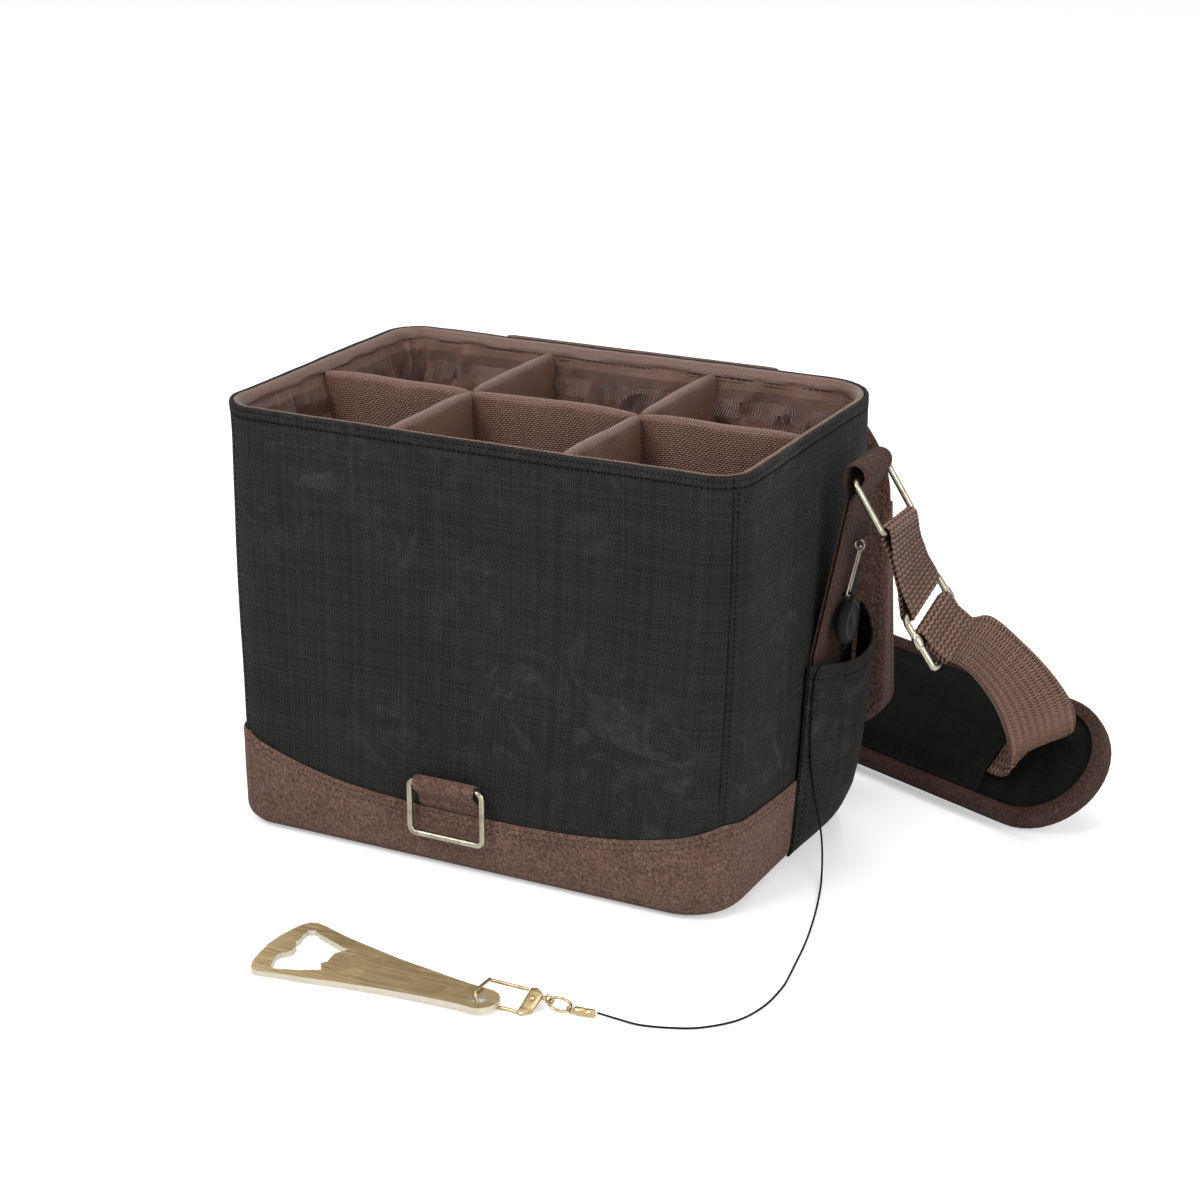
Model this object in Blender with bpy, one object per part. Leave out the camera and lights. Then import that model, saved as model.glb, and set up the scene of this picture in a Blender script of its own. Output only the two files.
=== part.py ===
"""Soft cooler tote with an open lid, padded dividers, a shoulder strap and an opener on a retractable cord."""

import math

import bmesh
import bpy
from mathutils import Matrix, Vector

# Bag shell
rim_height = 0.2263
rim_half_length = 0.141
rim_half_depth = 0.092
base_half_length = 0.131
base_left_length = 0.1425
base_half_depth = 0.085
base_edge_radius = 0.010
corner_rims = (0.016, 0.036, 0.018, 0.024)
corner_bases = (0.028, 0.028, 0.024, 0.020)
corner_steps = 6
wall_level_shares = (0.22, 0.48, 0.74)
canvas_thickness = 0.0012
suede_thickness = 0.0012
foam_thickness = 0.004
lining_thickness = 0.001
base_thickness = 0.004
base_foam_thickness = 0.004
skin_gap = 0.0003
seam_gap = 0.0004
facing_depth = 0.014
trim_corner_height = 0.053
trim_front_low = 0.033
trim_side_low = 0.046

# Padded dividers
divider_thickness = 0.008
divider_spacing = 0.047
divider_drop = 0.003
divider_slot_share = 0.5
divider_clearance = 0.0004

# Side pocket
pocket_front_seam = -0.004
pocket_back_seam = 0.068
pocket_lip = 0.104
pocket_rise_front = 0.004
pocket_rise_back = 0.014
pocket_bulge = 0.0155
pocket_belly = 5
pocket_thickness = 0.0016

# Straps and their wire fittings
strap_width = 0.036
strap_thickness = 0.0015
strap_centre = 0.019
wire_radius = 0.0016
fitting_width = 0.044
fitting_height = 0.031
fitting_corner = 0.003
wire_clearance = 0.0006
tab_low = 0.085
tab_mouth = 0.111
ring_bar_reach = 0.019
ring_bar_height = 0.202
ring_lean = 33.0
link_drop = 0.0368
link_lean = 19.7
slider_lean = 35.4
left_leans = (4.0, 2.0, 5.0, 67.0)
slider_bar_share = 0.44
tab_loop_radius = 0.0055
end_loop_angle = 34.5
end_loop_length = 0.017
slider_skew = 0.27
skew_from = 0.176
skew_full = 0.148

# Front ring tab
front_ring_centre = -0.012
front_bar_height = 0.0484
front_tab_width = 0.036
front_tab_start = 0.0338
front_tab_end = 0.037
front_tab_thickness = 0.0012

# Shoulder pad
pad_length = 0.225
pad_width = 0.073
pad_thickness = 0.008
pad_tip = 0.073
pad_yaw = -22.2
pad_tilt = 40.0
pad_corner_x = 0.180
pad_corner_y = 0.103
binding_thickness = 0.0012
binding_lap = 0.005
pad_edge_round = 0.0015
sleeve_hem = 0.018
sleeve_length = 0.118
sleeve_thickness = 0.0012
sleeve_shoulder = 0.010
webbing_clearance = 0.00045
webbing_split = -0.025

# Lid
lid_gap = 0.0006
lid_rest_gap = 0.0005
lid_foam = 0.0025
lid_lining = 0.0007
lid_start = 0.0058
lid_side_clearance = 0.0013
lid_front_clearance = 0.0008
lid_back_corner = 0.060
lid_front_corner = 0.016
hinge_setback = 0.003
hinge_strip_drop = 0.0046
skirt_depth = 0.016
skirt_end_depth = 0.002
hinge_strip_half_length = 0.078
hinge_strip_thickness = 0.001

# Closure strap
closure_width = 0.028
closure_thickness = 0.0013
closure_standoff = 0.0069
closure_floor_gap = 0.00055
closure_length = 0.150
closure_patch = 0.026
hook_length = 0.021
hook_width = 0.018
hook_thickness = 0.0016

# Retractor reel
reel_radius = 0.011
reel_thickness = 0.006
reel_wall = 0.0012
reel_height = 0.125
reel_reach = 0.0118
eyelet_height = 0.165
link_wire_radius = 0.0006
eyelet_radius = 0.0024
spool_gap = 0.0003

# Opener and its chain on the floor
opener_reach = 0.113
opener_head_width = 0.052
opener_tail_radius = 0.0095
opener_hole_radius = 0.004
opener_thickness = 0.0026
opener_hole_x = 0.0673
opener_hole_y = -0.2009
opener_heading = 189.47
hook_wire_radius = 0.0008
chain_gap = 0.0003
hook_body_x = 0.0854
hook_body_length = 0.0072
hook_leg_y = -0.1985
hook_gate_y = -0.1862
swivel_y = -0.1886
eye_radius = 0.0019
eye_wire_radius = 0.0006
oval_radius = 0.0050
oval_wire_radius = 0.00065
ferrule_radius = 0.0019
ferrule_length = 0.0100
ferrule_turn = 6.7
cord_radius = 0.0005

# Left strap run on the floor behind the bag
run_route = (
    (0.0520, 0.1980), (0.0250, 0.2450), (0.0150, 0.2850), (-0.0150, 0.3180), (-0.0650, 0.3230),
    (-0.1250, 0.2960), (-0.1720, 0.2350), (-0.1880, 0.1700), (-0.1860, 0.1200), (-0.1800, 0.0800),
)
run_rise = ((-0.1845, 0.0470, 0.0240, 0.45), (-0.1790, 0.0300, 0.0620, 0.48))

# Loose cord, from the ferrule over the floor and up the pocket into the reel
cord_route = (
    (0.1186, -0.1855, 0.0023), (0.1290, -0.1846, 0.0012), (0.1390, -0.1838, 0.0006), (0.1520, -0.1800, 0.0006),
    (0.1640, -0.1735, 0.0006), (0.1755, -0.1602, 0.0006), (0.1806, -0.1430, 0.0006), (0.1810, -0.1240, 0.0006),
    (0.1794, -0.1120, 0.0006), (0.1768, -0.0970, 0.0006), (0.1741, -0.0822, 0.0006), (0.1704, -0.0659, 0.0006),
    (0.1649, -0.0453, 0.0006), (0.1583, -0.0240, 0.0008), (0.1546, -0.0135, 0.0024), (0.1518, -0.0062, 0.0070),
    (0.1497, -0.0022, 0.0150), (0.1472, 0.0006, 0.0235), (0.1443, 0.0030, 0.0305), (0.1430, 0.0034, 0.0360),
    (0.1426, 0.0010, 0.0460), (0.1421, -0.0012, 0.0575), (0.1420, -0.0024, 0.0685), (0.1422, -0.0028, 0.0790),
    (0.1426, -0.0028, 0.0870), (0.1430, -0.0028, 0.0950), (0.1436, -0.0026, 0.1012), (0.1449, -0.0012, 0.1062),
    (0.1463, 0.0012, 0.1080), (0.1469, 0.0040, 0.1079), (0.1476, 0.0080, 0.1076), (0.1490, 0.0135, 0.1084),
    (0.1502, 0.0183, 0.1112), (0.1503, 0.0190, 0.1152),
)

for old in list(bpy.data.objects):
    bpy.data.objects.remove(old, do_unlink=True)


def surface(name, colour, roughness, metallic=0.0):
    made = bpy.data.materials.new(name)
    made.use_nodes = True
    shader = made.node_tree.nodes["Principled BSDF"]
    shader.inputs["Base Color"].default_value = (*colour, 1.0)
    shader.inputs["Roughness"].default_value = roughness
    shader.inputs["Metallic"].default_value = metallic
    made.diffuse_color = (*colour, 1.0)
    return made


canvas = surface("canvas", (0.032, 0.032, 0.034), 0.82)
suede = surface("suede", (0.085, 0.046, 0.034), 0.92)
lining = surface("lining", (0.17, 0.10, 0.075), 0.85)
foam = surface("foam", (0.62, 0.62, 0.60), 0.75)
webbing = surface("webbing", (0.19, 0.10, 0.075), 0.8)
nickel = surface("nickel", (0.42, 0.40, 0.33), 0.32, 1.0)
brass = surface("brass", (0.36, 0.27, 0.14), 0.36, 1.0)
black = surface("black", (0.012, 0.012, 0.013), 0.45)


def finished(name, shape, material, pivot=(0, 0, 0)):
    bmesh.ops.remove_doubles(shape, verts=shape.verts, dist=skin_gap * 0.02)
    bmesh.ops.recalc_face_normals(shape, faces=shape.faces)
    bmesh.ops.triangulate(shape, faces=shape.faces, quad_method="SHORT_EDGE")
    place = Vector(pivot)
    bmesh.ops.translate(shape, verts=shape.verts, vec=-place)
    mesh = bpy.data.meshes.new(name)
    shape.to_mesh(mesh)
    shape.free()
    mesh.shade_smooth()
    mesh.set_sharp_from_angle(angle=math.radians(40))
    mesh.materials.append(material)
    made = bpy.data.objects.new(name, mesh)
    made.location = place
    bpy.context.scene.collection.objects.link(made)
    return made


def sweep(name, sections, material, closed=False, pivot=(0, 0, 0)):
    """Bridges equal closed sections; the ends are capped, or joined where closed."""
    shape = bmesh.new()
    rows = [[shape.verts.new(point) for point in section] for section in sections]
    pairs = list(zip(rows, rows[1:]))
    if closed:
        pairs.append((rows[-1], rows[0]))
    for low, high in pairs:
        for i in range(len(low)):
            j = (i + 1) % len(low)
            shape.faces.new((low[i], low[j], high[j], high[i]))
    if not closed:
        shape.faces.new(rows[0])
        shape.faces.new(rows[-1])
    return finished(name, shape, material, pivot)


def wire(name, path, radius, material, normal, closed=False, sides=8, pivot=(0, 0, 0)):
    """Round wire along points, its section square to the path."""
    points = [Vector(point) for point in path]
    sections = []
    for i, point in enumerate(points):
        before = points[i - 1] if closed or i else point
        after = points[(i + 1) % len(points)] if closed or i + 1 < len(points) else point
        along = (after - before).normalized()
        up = (Vector(normal) - along * along.dot(Vector(normal))).normalized()
        side = along.cross(up)
        sections.append([
            point + up * radius * math.cos(2 * math.pi * k / sides) + side * radius * math.sin(2 * math.pi * k / sides)
            for k in range(sides)
        ])
    return sweep(name, sections, material, closed, pivot)


def ribbon(name, path, thickness, across, width, material, closed=False, pivot=(0, 0, 0)):
    """Flat strip along a planar path, extruded along the direction across."""
    points = [Vector(point) for point in path]
    wide = Vector(across).normalized() * width / 2
    sections = []
    for i, point in enumerate(points):
        before = points[i - 1] if closed or i else None
        after = points[(i + 1) % len(points)] if closed or i + 1 < len(points) else None
        runs = [(b - a).normalized() for a, b in ((before, point), (point, after)) if a is not None and b is not None]
        normals = [run.cross(wide).normalized() for run in runs]
        middle = sum(normals, Vector()).normalized()
        half = middle * (thickness / 2 / max(middle.dot(normals[0]), math.cos(math.radians(60))))
        sections.append([point - wide - half, point + wide - half, point + wide + half, point - wide + half])
    return sweep(name, sections, material, closed, pivot)


def carved(made, cutters, operation="DIFFERENCE"):
    for cutter in cutters:
        cutter.hide_render = True
        cutter.display_type = "WIRE"
        cut = made.modifiers.new(cutter.name, "BOOLEAN")
        cut.object = cutter
        cut.operation = operation
        cut.solver = "EXACT"
    return made


def curve_through(points, count):
    """Evenly spaced points on a smooth curve through the given ones."""
    spots = [Vector(point) for point in points]
    ends = [2 * spots[0] - spots[1]] + spots + [2 * spots[-1] - spots[-2]]
    fine = []
    for i in range(len(spots) - 1):
        a, b, c, d = ends[i:i + 4]
        for k in range(16):
            t = k / 16
            fine.append(0.5 * (2 * b + (c - a) * t + (2 * a - 5 * b + 4 * c - d) * t ** 2 + (3 * b - a - 3 * c + d) * t ** 3))
    fine.append(spots[-1])
    along = [0.0]
    for a, b in zip(fine, fine[1:]):
        along.append(along[-1] + (b - a).length)
    found = []
    k = 0
    for i in range(count):
        goal = along[-1] * i / (count - 1)
        while k < len(along) - 2 and along[k + 1] < goal:
            k += 1
        found.append(fine[k].lerp(fine[k + 1], min(1, (goal - along[k]) / max(along[k + 1] - along[k], skin_gap * 0.001))))
    return found


def flare(height):
    return 1 - (1 - min(height / rim_height, 1)) ** 2


def grown(low, high, height):
    return low + (high - low) * flare(height)


def edge_inset(height):
    if height >= base_edge_radius:
        return 0.0
    return base_edge_radius - math.sqrt(base_edge_radius ** 2 - (base_edge_radius - height) ** 2)


def half_length(height):
    return grown(base_half_length, rim_half_length, height) - edge_inset(height)


def left_length(height):
    return grown(base_left_length, rim_half_length, height) - edge_inset(height)


def half_depth(height):
    return grown(base_half_depth, rim_half_depth, height) - edge_inset(height)


def corner_radius(corner, height, inset):
    return grown(corner_bases[corner], corner_rims[corner], height) - edge_inset(height) - inset


def wall_point(station, height, inset):
    """A point on the wall: station k + f turns through corner k, and f past 1 runs on to the next corner."""
    corner = int(station[0]) % 4
    turn = station[1]
    if turn > 1:
        start = Vector(wall_point((corner, 1), height, inset))
        end = Vector(wall_point((corner + 1, 0), height, inset))
        return tuple(start.lerp(end, turn - 1))
    radius = corner_radius(corner, height, inset)
    angle = math.radians(-90 + 90 * (corner + turn))
    sign_x = 1 if corner in (0, 1) else -1
    sign_y = 1 if corner in (1, 2) else -1
    reach = half_length(height) if sign_x > 0 else left_length(height)
    x = sign_x * (reach - inset - radius) + radius * math.cos(angle)
    y = sign_y * (half_depth(height) - inset - radius) + radius * math.sin(angle)
    return (x, y, height)


def side_reach(y, height, outset):
    """How far the right side stands out at a place along its depth."""
    radius = corner_radius(1, height, -outset)
    straight = half_depth(height) + outset - radius
    reach = half_length(height) + outset - radius
    past = max(0.0, y - straight)
    return reach + math.sqrt(max(radius ** 2 - past ** 2, 0.0))


full_turn = [(corner, step / corner_steps) for corner in range(4) for step in range(corner_steps + 1)]
seam_share = seam_gap / 2 / (min(corner_rims) * math.pi / 2)
wall_base = base_thickness + skin_gap
wall_levels = [wall_base, (wall_base + base_edge_radius) / 2, base_edge_radius]
wall_levels += [rim_height * share for share in wall_level_shares] + [rim_height]


def panel(name, first):
    """One canvas wall, from the middle of one corner to the middle of the next."""
    half = corner_steps // 2
    stations = [(first, 0.5 + seam_share)]
    stations += [(first, step / corner_steps) for step in range(half + 1, corner_steps + 1)]
    stations += [(first + 1, step / corner_steps) for step in range(half)]
    stations += [(first + 1, 0.5 - seam_share)]
    sections = []
    for station in stations:
        outer = [wall_point(station, height, 0) for height in wall_levels]
        inner = [wall_point(station, height, canvas_thickness) for height in reversed(wall_levels)]
        sections.append(outer + inner)
    return sweep(name, sections, canvas)


panel("canvas_front", 3)
panel("canvas_right", 0)
panel("canvas_back", 1)
panel("canvas_left", 2)

# Suede base and the curved band sewn round the foot
trim_inner = -skin_gap
trim_outer = -skin_gap - suede_thickness
sweep(
    "base_panel",
    [[wall_point(station, height, trim_outer) for station in full_turn] for height in (0.0, base_thickness * 0.375, base_thickness)],
    suede,
)


def trim_top(x, y):
    face = trim_front_low + (trim_corner_height - trim_front_low) * min(abs(x) / base_half_length, 1) ** 3
    side = trim_side_low + (trim_corner_height - trim_side_low) * min(abs(y) / base_half_depth, 1) ** 1.5
    return min(face, side, trim_corner_height)


trim_stations = []
for corner in range(4):
    trim_stations += [(corner, step / corner_steps) for step in range(corner_steps + 1)]
    steps = 8 if corner % 2 else 2
    trim_stations += [(corner, 1 + step / steps) for step in range(1, steps)]
trim_sections = []
for station in trim_stations:
    x, y, top = wall_point(station, trim_front_low, 0)
    top = trim_top(x, y)
    heights = wall_levels[:3] + [(base_edge_radius + top) / 2, top]
    outer = [wall_point(station, height, trim_outer) for height in heights]
    inner = [wall_point(station, height, trim_inner) for height in reversed(heights)]
    trim_sections.append(outer + inner)
sweep("suede_trim", trim_sections, suede, closed=True)

# Insulation and lining
foam_inset = canvas_thickness + skin_gap
lining_inset = foam_inset + foam_thickness + skin_gap
inner_inset = lining_inset + lining_thickness
facing_inset = inner_inset + skin_gap + lining_thickness
base_foam_top = wall_base + base_foam_thickness
floor_low = base_foam_top + skin_gap
floor_top = floor_low + lining_thickness
flange_low = rim_height - suede_thickness
fill_top = flange_low - skin_gap
sweep(
    "base_foam",
    [[wall_point(station, height, foam_inset) for station in full_turn] for height in (wall_base, (wall_base + base_foam_top) / 2, base_foam_top)],
    foam,
)
fill_levels = [floor_low, rim_height * wall_level_shares[0], rim_height * wall_level_shares[1], rim_height * wall_level_shares[2], fill_top]
fill_sections = []
for station in full_turn:
    outer = [wall_point(station, height, foam_inset) for height in fill_levels]
    inner = [wall_point(station, height, foam_inset + foam_thickness) for height in reversed(fill_levels)]
    fill_sections.append(outer + inner)
sweep("wall_foam", fill_sections, foam, closed=True)
inside_levels = [floor_top] + fill_levels[1:]
tub = [[wall_point(station, height, lining_inset) for station in full_turn] for height in fill_levels]
tub += [[wall_point(station, height, inner_inset) for station in full_turn] for height in reversed(inside_levels)]
sweep("lining_tub", tub, lining)
facing_sections = []
for station in full_turn:
    facing_sections.append([
        wall_point(station, rim_height, foam_inset),
        wall_point(station, rim_height, facing_inset),
        wall_point(station, rim_height - facing_depth, facing_inset),
        wall_point(station, rim_height - facing_depth, inner_inset + skin_gap),
        wall_point(station, flange_low, inner_inset + skin_gap),
        wall_point(station, flange_low, foam_inset),
    ])
sweep("rim_facing", facing_sections, lining, closed=True)

# Dividers, slotted into each other
divider_top = rim_height - divider_drop
divider_low = floor_top + skin_gap
slot_height = divider_low + (divider_top - divider_low) * divider_slot_share
slot_half = divider_thickness / 2 + divider_clearance
divider_levels = [divider_low] + fill_levels[1:4] + [divider_top]


def divider(reaches, along, across, notches, notch_up):
    """A plate with slots from its top or its bottom edge, standing on the lining floor."""
    left, right = [[(reach(height) - facing_inset - skin_gap, height) for height in divider_levels] for reach in reaches]
    left = [(-place, height) for place, height in reversed(left)]
    outline = list(right)
    if notch_up:
        for place in reversed(notches):
            outline += [(place + slot_half, divider_top), (place + slot_half, slot_height - divider_clearance)]
            outline += [(place - slot_half, slot_height - divider_clearance), (place - slot_half, divider_top)]
    outline += left
    if not notch_up:
        for place in notches:
            outline += [(place - slot_half, divider_low), (place - slot_half, slot_height + divider_clearance)]
            outline += [(place + slot_half, slot_height + divider_clearance), (place + slot_half, divider_low)]
    along, across = Vector(along), Vector(across)
    sections = []
    for side in (-1, 1):
        sections.append([
            along * place + across * (side * divider_thickness / 2) + Vector((0, 0, height)) for place, height in outline
        ])
    return sections


long_plates = divider((left_length, half_length), (1, 0, 0), (0, 1, 0), (-divider_spacing, divider_spacing), True)
sweep("divider_long", long_plates, lining)
for name, place in (("divider_left", -divider_spacing), ("divider_right", divider_spacing)):
    plates = divider((half_depth, half_depth), (0, 1, 0), (1, 0, 0), (0,), False)
    sweep(name, [[point + Vector((place, 0, 0)) for point in section] for section in plates], lining)

# Bulging pocket on the right side
pocket_outset = skin_gap + suede_thickness + skin_gap
pocket_low = wall_base
pocket_steps = 12
pocket_level_shares = (0, 0.03, 0.09, 0.2, 0.42, 0.7, 1)


def pocket_point(share, level_share, layer):
    lip = pocket_lip + pocket_rise_front * (1 - share) ** 4 + pocket_rise_back * share ** 3
    height = pocket_low + (lip - pocket_low) * level_share
    y = pocket_front_seam + (pocket_back_seam - pocket_front_seam) * share
    bulge = pocket_bulge * math.sin(math.pi * share) ** 0.9 * (1 - (1 - level_share) ** pocket_belly)
    return (side_reach(y, height, pocket_outset) + bulge + layer, y, height)


pocket_sections = []
for step in range(pocket_steps + 1):
    share = step / pocket_steps
    outer = [pocket_point(share, level, pocket_thickness) for level in pocket_level_shares]
    inner = [pocket_point(share, level, 0) for level in reversed(pocket_level_shares)]
    pocket_sections.append(outer + inner)
sweep("pocket", pocket_sections, canvas)


# Ring, webbing link and slider on each side, mirrored left to right
def rounded_frame(centre, half_wide, half_high, radius, wide, high):
    """Points of a rounded rectangle in the plane of two directions."""
    wide, high = Vector(wide), Vector(high)
    points = []
    for corner in range(4):
        sign_w = 1 if corner in (0, 3) else -1
        sign_h = 1 if corner in (0, 1) else -1
        for step in range(4):
            angle = math.radians(90 * corner + 30 * step)
            points.append(
                Vector(centre)
                + wide * (sign_w * (half_wide - radius) + radius * math.cos(angle))
                + high * (sign_h * (half_high - radius) + radius * math.sin(angle))
            )
    return points


def loop_round(centre, radius, throat, throat_half, steps=8):
    """Points of a strip's bend round a centre, from one side of its throat to the other."""
    away = Vector(throat) - Vector(centre)
    reach = away.length
    aim = math.atan2(away[1], away[0])
    spread = math.acos(min(1, (radius + throat_half) / reach))
    found = []
    for step in range(steps + 1):
        angle = aim + spread + (2 * math.pi - 2 * spread) * step / steps
        found.append((centre[0] + radius * math.cos(angle), centre[1] + radius * math.sin(angle)))
    return found


half_pair = (strap_thickness + skin_gap) / 2
bar_half = fitting_width / 2 - wire_radius
span = fitting_height - 2 * wire_radius


def heading(degrees):
    return (math.sin(math.radians(degrees)), -math.cos(math.radians(degrees)))


def stepped(place, way, distance):
    return (place[0] + way[0] * distance, place[1] + way[1] * distance)


ring_top = (rim_half_length + ring_bar_reach, ring_bar_height)
small_loop = wire_radius + wire_clearance + strap_thickness / 2


def across_side(side, place, y=strap_centre):
    return Vector((side * place[0], y, place[1]))


def fitting(name, side, top, way):
    middle = stepped(top, way, span / 2)
    high = Vector((-side * way[0], 0, -way[1]))
    path = rounded_frame(across_side(side, middle), bar_half, span / 2, fitting_corner, (0, 1, 0), high)
    pivot = across_side(side, ring_top)
    return wire(name, path, wire_radius, nickel, high.cross(Vector((0, 1, 0))), closed=True, pivot=pivot)


def skew_at(height):
    """How far the right fittings twist, rising toward the back, below the ring."""
    return slider_skew * max(0, min(1, (skew_from - height) / (skew_from - skew_full)))


def skewed(made):
    for vertex in made.data.vertices:
        height = vertex.co.z + made.location.z
        vertex.co.z += skew_at(height) * (vertex.co.y + made.location.y - strap_centre)


def side_fittings(word, side, leans, reach):
    pivot = across_side(side, ring_top)
    ring_way, link_way, slider_way = [heading(lean) for lean in leans[:3]]
    ring_low = stepped(ring_top, ring_way, span)
    slider_top = stepped(ring_low, link_way, link_drop)
    slider_bar = stepped(slider_top, slider_way, span * slider_bar_share)
    end_way = (math.cos(math.radians(-leans[3])), math.sin(math.radians(-leans[3])))
    end_point = stepped(slider_bar, end_way, end_loop_length)
    fitting("ring_" + word, side, ring_top, ring_way)
    slider = fitting("slider_" + word, side, slider_top, slider_way)
    bar = [across_side(side, slider_bar, strap_centre + sign * (bar_half - wire_radius - skin_gap)) for sign in (-1, 1)]
    middle_bar = wire("slider_bar_" + word, bar, wire_radius, nickel, (0, 0, 1), pivot=pivot)

    # Webbing sewn in a closed loop from the ring to the slider
    first = stepped(ring_low, link_way, link_drop * 0.32)
    second = stepped(ring_low, link_way, link_drop * 0.68)
    square = (-link_way[1], link_way[0])
    round_ring = loop_round(ring_low, small_loop, first, 0)
    round_bar = loop_round(slider_top, small_loop, second, 0)

    near = [stepped(first, square, -half_pair), stepped(second, square, -half_pair)]
    far = [stepped(second, square, half_pair), stepped(first, square, half_pair)]
    line = [across_side(side, point) for point in round_ring + near + round_bar + far]
    link = ribbon("link_" + word, line, strap_thickness, (0, 1, 0), strap_width, webbing, closed=True, pivot=pivot)

    # Webbing end folded round the slider's middle bar
    throat_place = stepped(slider_bar, end_way, end_loop_length * 0.42)
    round_middle = loop_round(slider_bar, small_loop, throat_place, 0)
    side_way = (-end_way[1], end_way[0])
    path = [stepped(end_point, side_way, half_pair), stepped(throat_place, side_way, half_pair)] + round_middle
    path += [stepped(throat_place, side_way, -half_pair), stepped(end_point, side_way, -half_pair)]
    line = [across_side(side, point) for point in path]
    end = ribbon("webbing_end_" + word, line, strap_thickness, (0, 1, 0), strap_width, webbing, pivot=pivot)
    if side > 0:
        for made in (slider, middle_bar, link, end):
            skewed(made)

    # Suede tab, doubled, from the side wall to its loop round the ring
    start = reach(tab_low) + skin_gap + strap_thickness + skin_gap / 2
    mouth = reach(tab_mouth) + skin_gap + strap_thickness + skin_gap / 2
    seat = wire_clearance + wire_radius + strap_thickness / 2
    loop_centre = stepped(ring_top, ring_way, seat - tab_loop_radius)
    neck_share = 0.87
    neck = (mouth + (loop_centre[0] - mouth) * neck_share, tab_mouth + (loop_centre[1] - tab_mouth) * neck_share)
    lean = Vector((neck[0] - mouth, neck[1] - tab_mouth)).normalized()
    flat = (lean[1], -lean[0])
    round_top = loop_round(loop_centre, tab_loop_radius, neck, 0, 12)
    outer_side = [stepped(neck, flat, half_pair), (mouth + half_pair, tab_mouth), (start + half_pair, tab_low)]
    inner_side = [(start - half_pair, tab_low), (mouth - half_pair, tab_mouth), stepped(neck, flat, -half_pair)]
    path = list(reversed(outer_side)) + round_top + list(reversed(inner_side))
    ribbon("tab_" + word, [across_side(side, point) for point in path], strap_thickness, (0, 1, 0), strap_width, suede)
    return mouth, lean, end_point, end_way


right_leans = (ring_lean, link_lean, slider_lean, end_loop_angle)
tab_mouth_reach, tab_lean, end_point, end_way = side_fittings("right", 1, right_leans, half_length)
left_end_point, left_end_way = side_fittings("left", -1, left_leans, left_length)[2:]

# Front ring in its folded suede tab
front_bar_y = -(half_depth(front_bar_height) + skin_gap + front_tab_thickness * 2 + wire_clearance + wire_radius + skin_gap)
front_middle = (front_ring_centre, front_bar_y, front_bar_height - span / 2)
front_pivot = (front_ring_centre, front_bar_y, front_bar_height)
front_path = rounded_frame(front_middle, bar_half, span / 2, fitting_corner, (1, 0, 0), (0, 0, 1))
wire("front_ring", front_path, wire_radius, nickel, (0, 1, 0), closed=True, pivot=front_pivot)
front_loop = wire_radius + wire_clearance + front_tab_thickness / 2
tab_back = -(half_depth(front_tab_start) + skin_gap + front_tab_thickness / 2)
leaf_share = (front_tab_end - front_tab_start) / (front_bar_height - front_tab_start)
tab_front = tab_back + (front_bar_y + front_loop - tab_back) * leaf_share - front_tab_thickness - skin_gap
front_arc = []
for step in range(7):
    angle = math.radians(180 * step / 6)
    front_arc.append((front_bar_y + front_loop * math.cos(angle), front_bar_height + front_loop * math.sin(angle)))
front_tab_path = [(tab_back, front_tab_start)] + front_arc + [(tab_front, front_tab_end)]
ribbon(
    "front_tab",
    [Vector((front_ring_centre, place, height)) for place, height in front_tab_path],
    front_tab_thickness,
    (1, 0, 0),
    front_tab_width - wire_radius,
    suede,
)

# Shoulder pad leaning on its lower long edge
yaw = math.radians(pad_yaw)
tilt = math.radians(pad_tilt)
pad_along = Vector((math.cos(yaw), math.sin(yaw), 0))
pad_up = Vector((-math.sin(yaw) * math.cos(tilt), math.cos(yaw) * math.cos(tilt), math.sin(tilt)))
pad_out = pad_along.cross(pad_up)
binding_reach = skin_gap + binding_thickness
pad_seat = Vector((pad_corner_x, pad_corner_y, binding_reach * (math.sin(tilt) + math.cos(tilt))))


def pad_point(along, up, out):
    return pad_seat + pad_along * along + pad_up * up + pad_out * out


def pad_outline(inset, steps=8):
    """Stadium outline of the pad, drawn in by an inset."""
    radius = pad_width / 2 - inset
    right = pad_tip - pad_width / 2
    left = pad_tip - pad_length + pad_width / 2
    points = []
    for centre, turn in ((right, -90), (left, 90)):
        for step in range(steps + 1):
            angle = math.radians(turn + 180 * step / steps)
            points.append((centre + radius * math.cos(angle), pad_width / 2 + radius * math.sin(angle)))
    return points


sweep(
    "pad_core",
    [
        [pad_point(a, u, out) for a, u in pad_outline(inset)]
        for inset, out in ((pad_edge_round, 0), (0, pad_edge_round), (0, pad_thickness - pad_edge_round), (pad_edge_round, pad_thickness))
    ],
    canvas,
)
binding_section = (
    (-binding_reach, -binding_reach), (-binding_reach, pad_thickness + binding_reach),
    (binding_lap, pad_thickness + binding_reach), (binding_lap, pad_thickness + skin_gap),
    (-skin_gap, pad_thickness + skin_gap), (-skin_gap, -skin_gap), (binding_lap, -skin_gap), (binding_lap, -binding_reach),
)
outlines = [pad_outline(inset) for inset, out in binding_section]
binding_rows = []
for i in range(len(outlines[0])):
    binding_rows.append([pad_point(*outlines[k][i], binding_section[k][1]) for k in range(len(binding_section))])
sweep("pad_binding", binding_rows, suede, closed=True)

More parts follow.
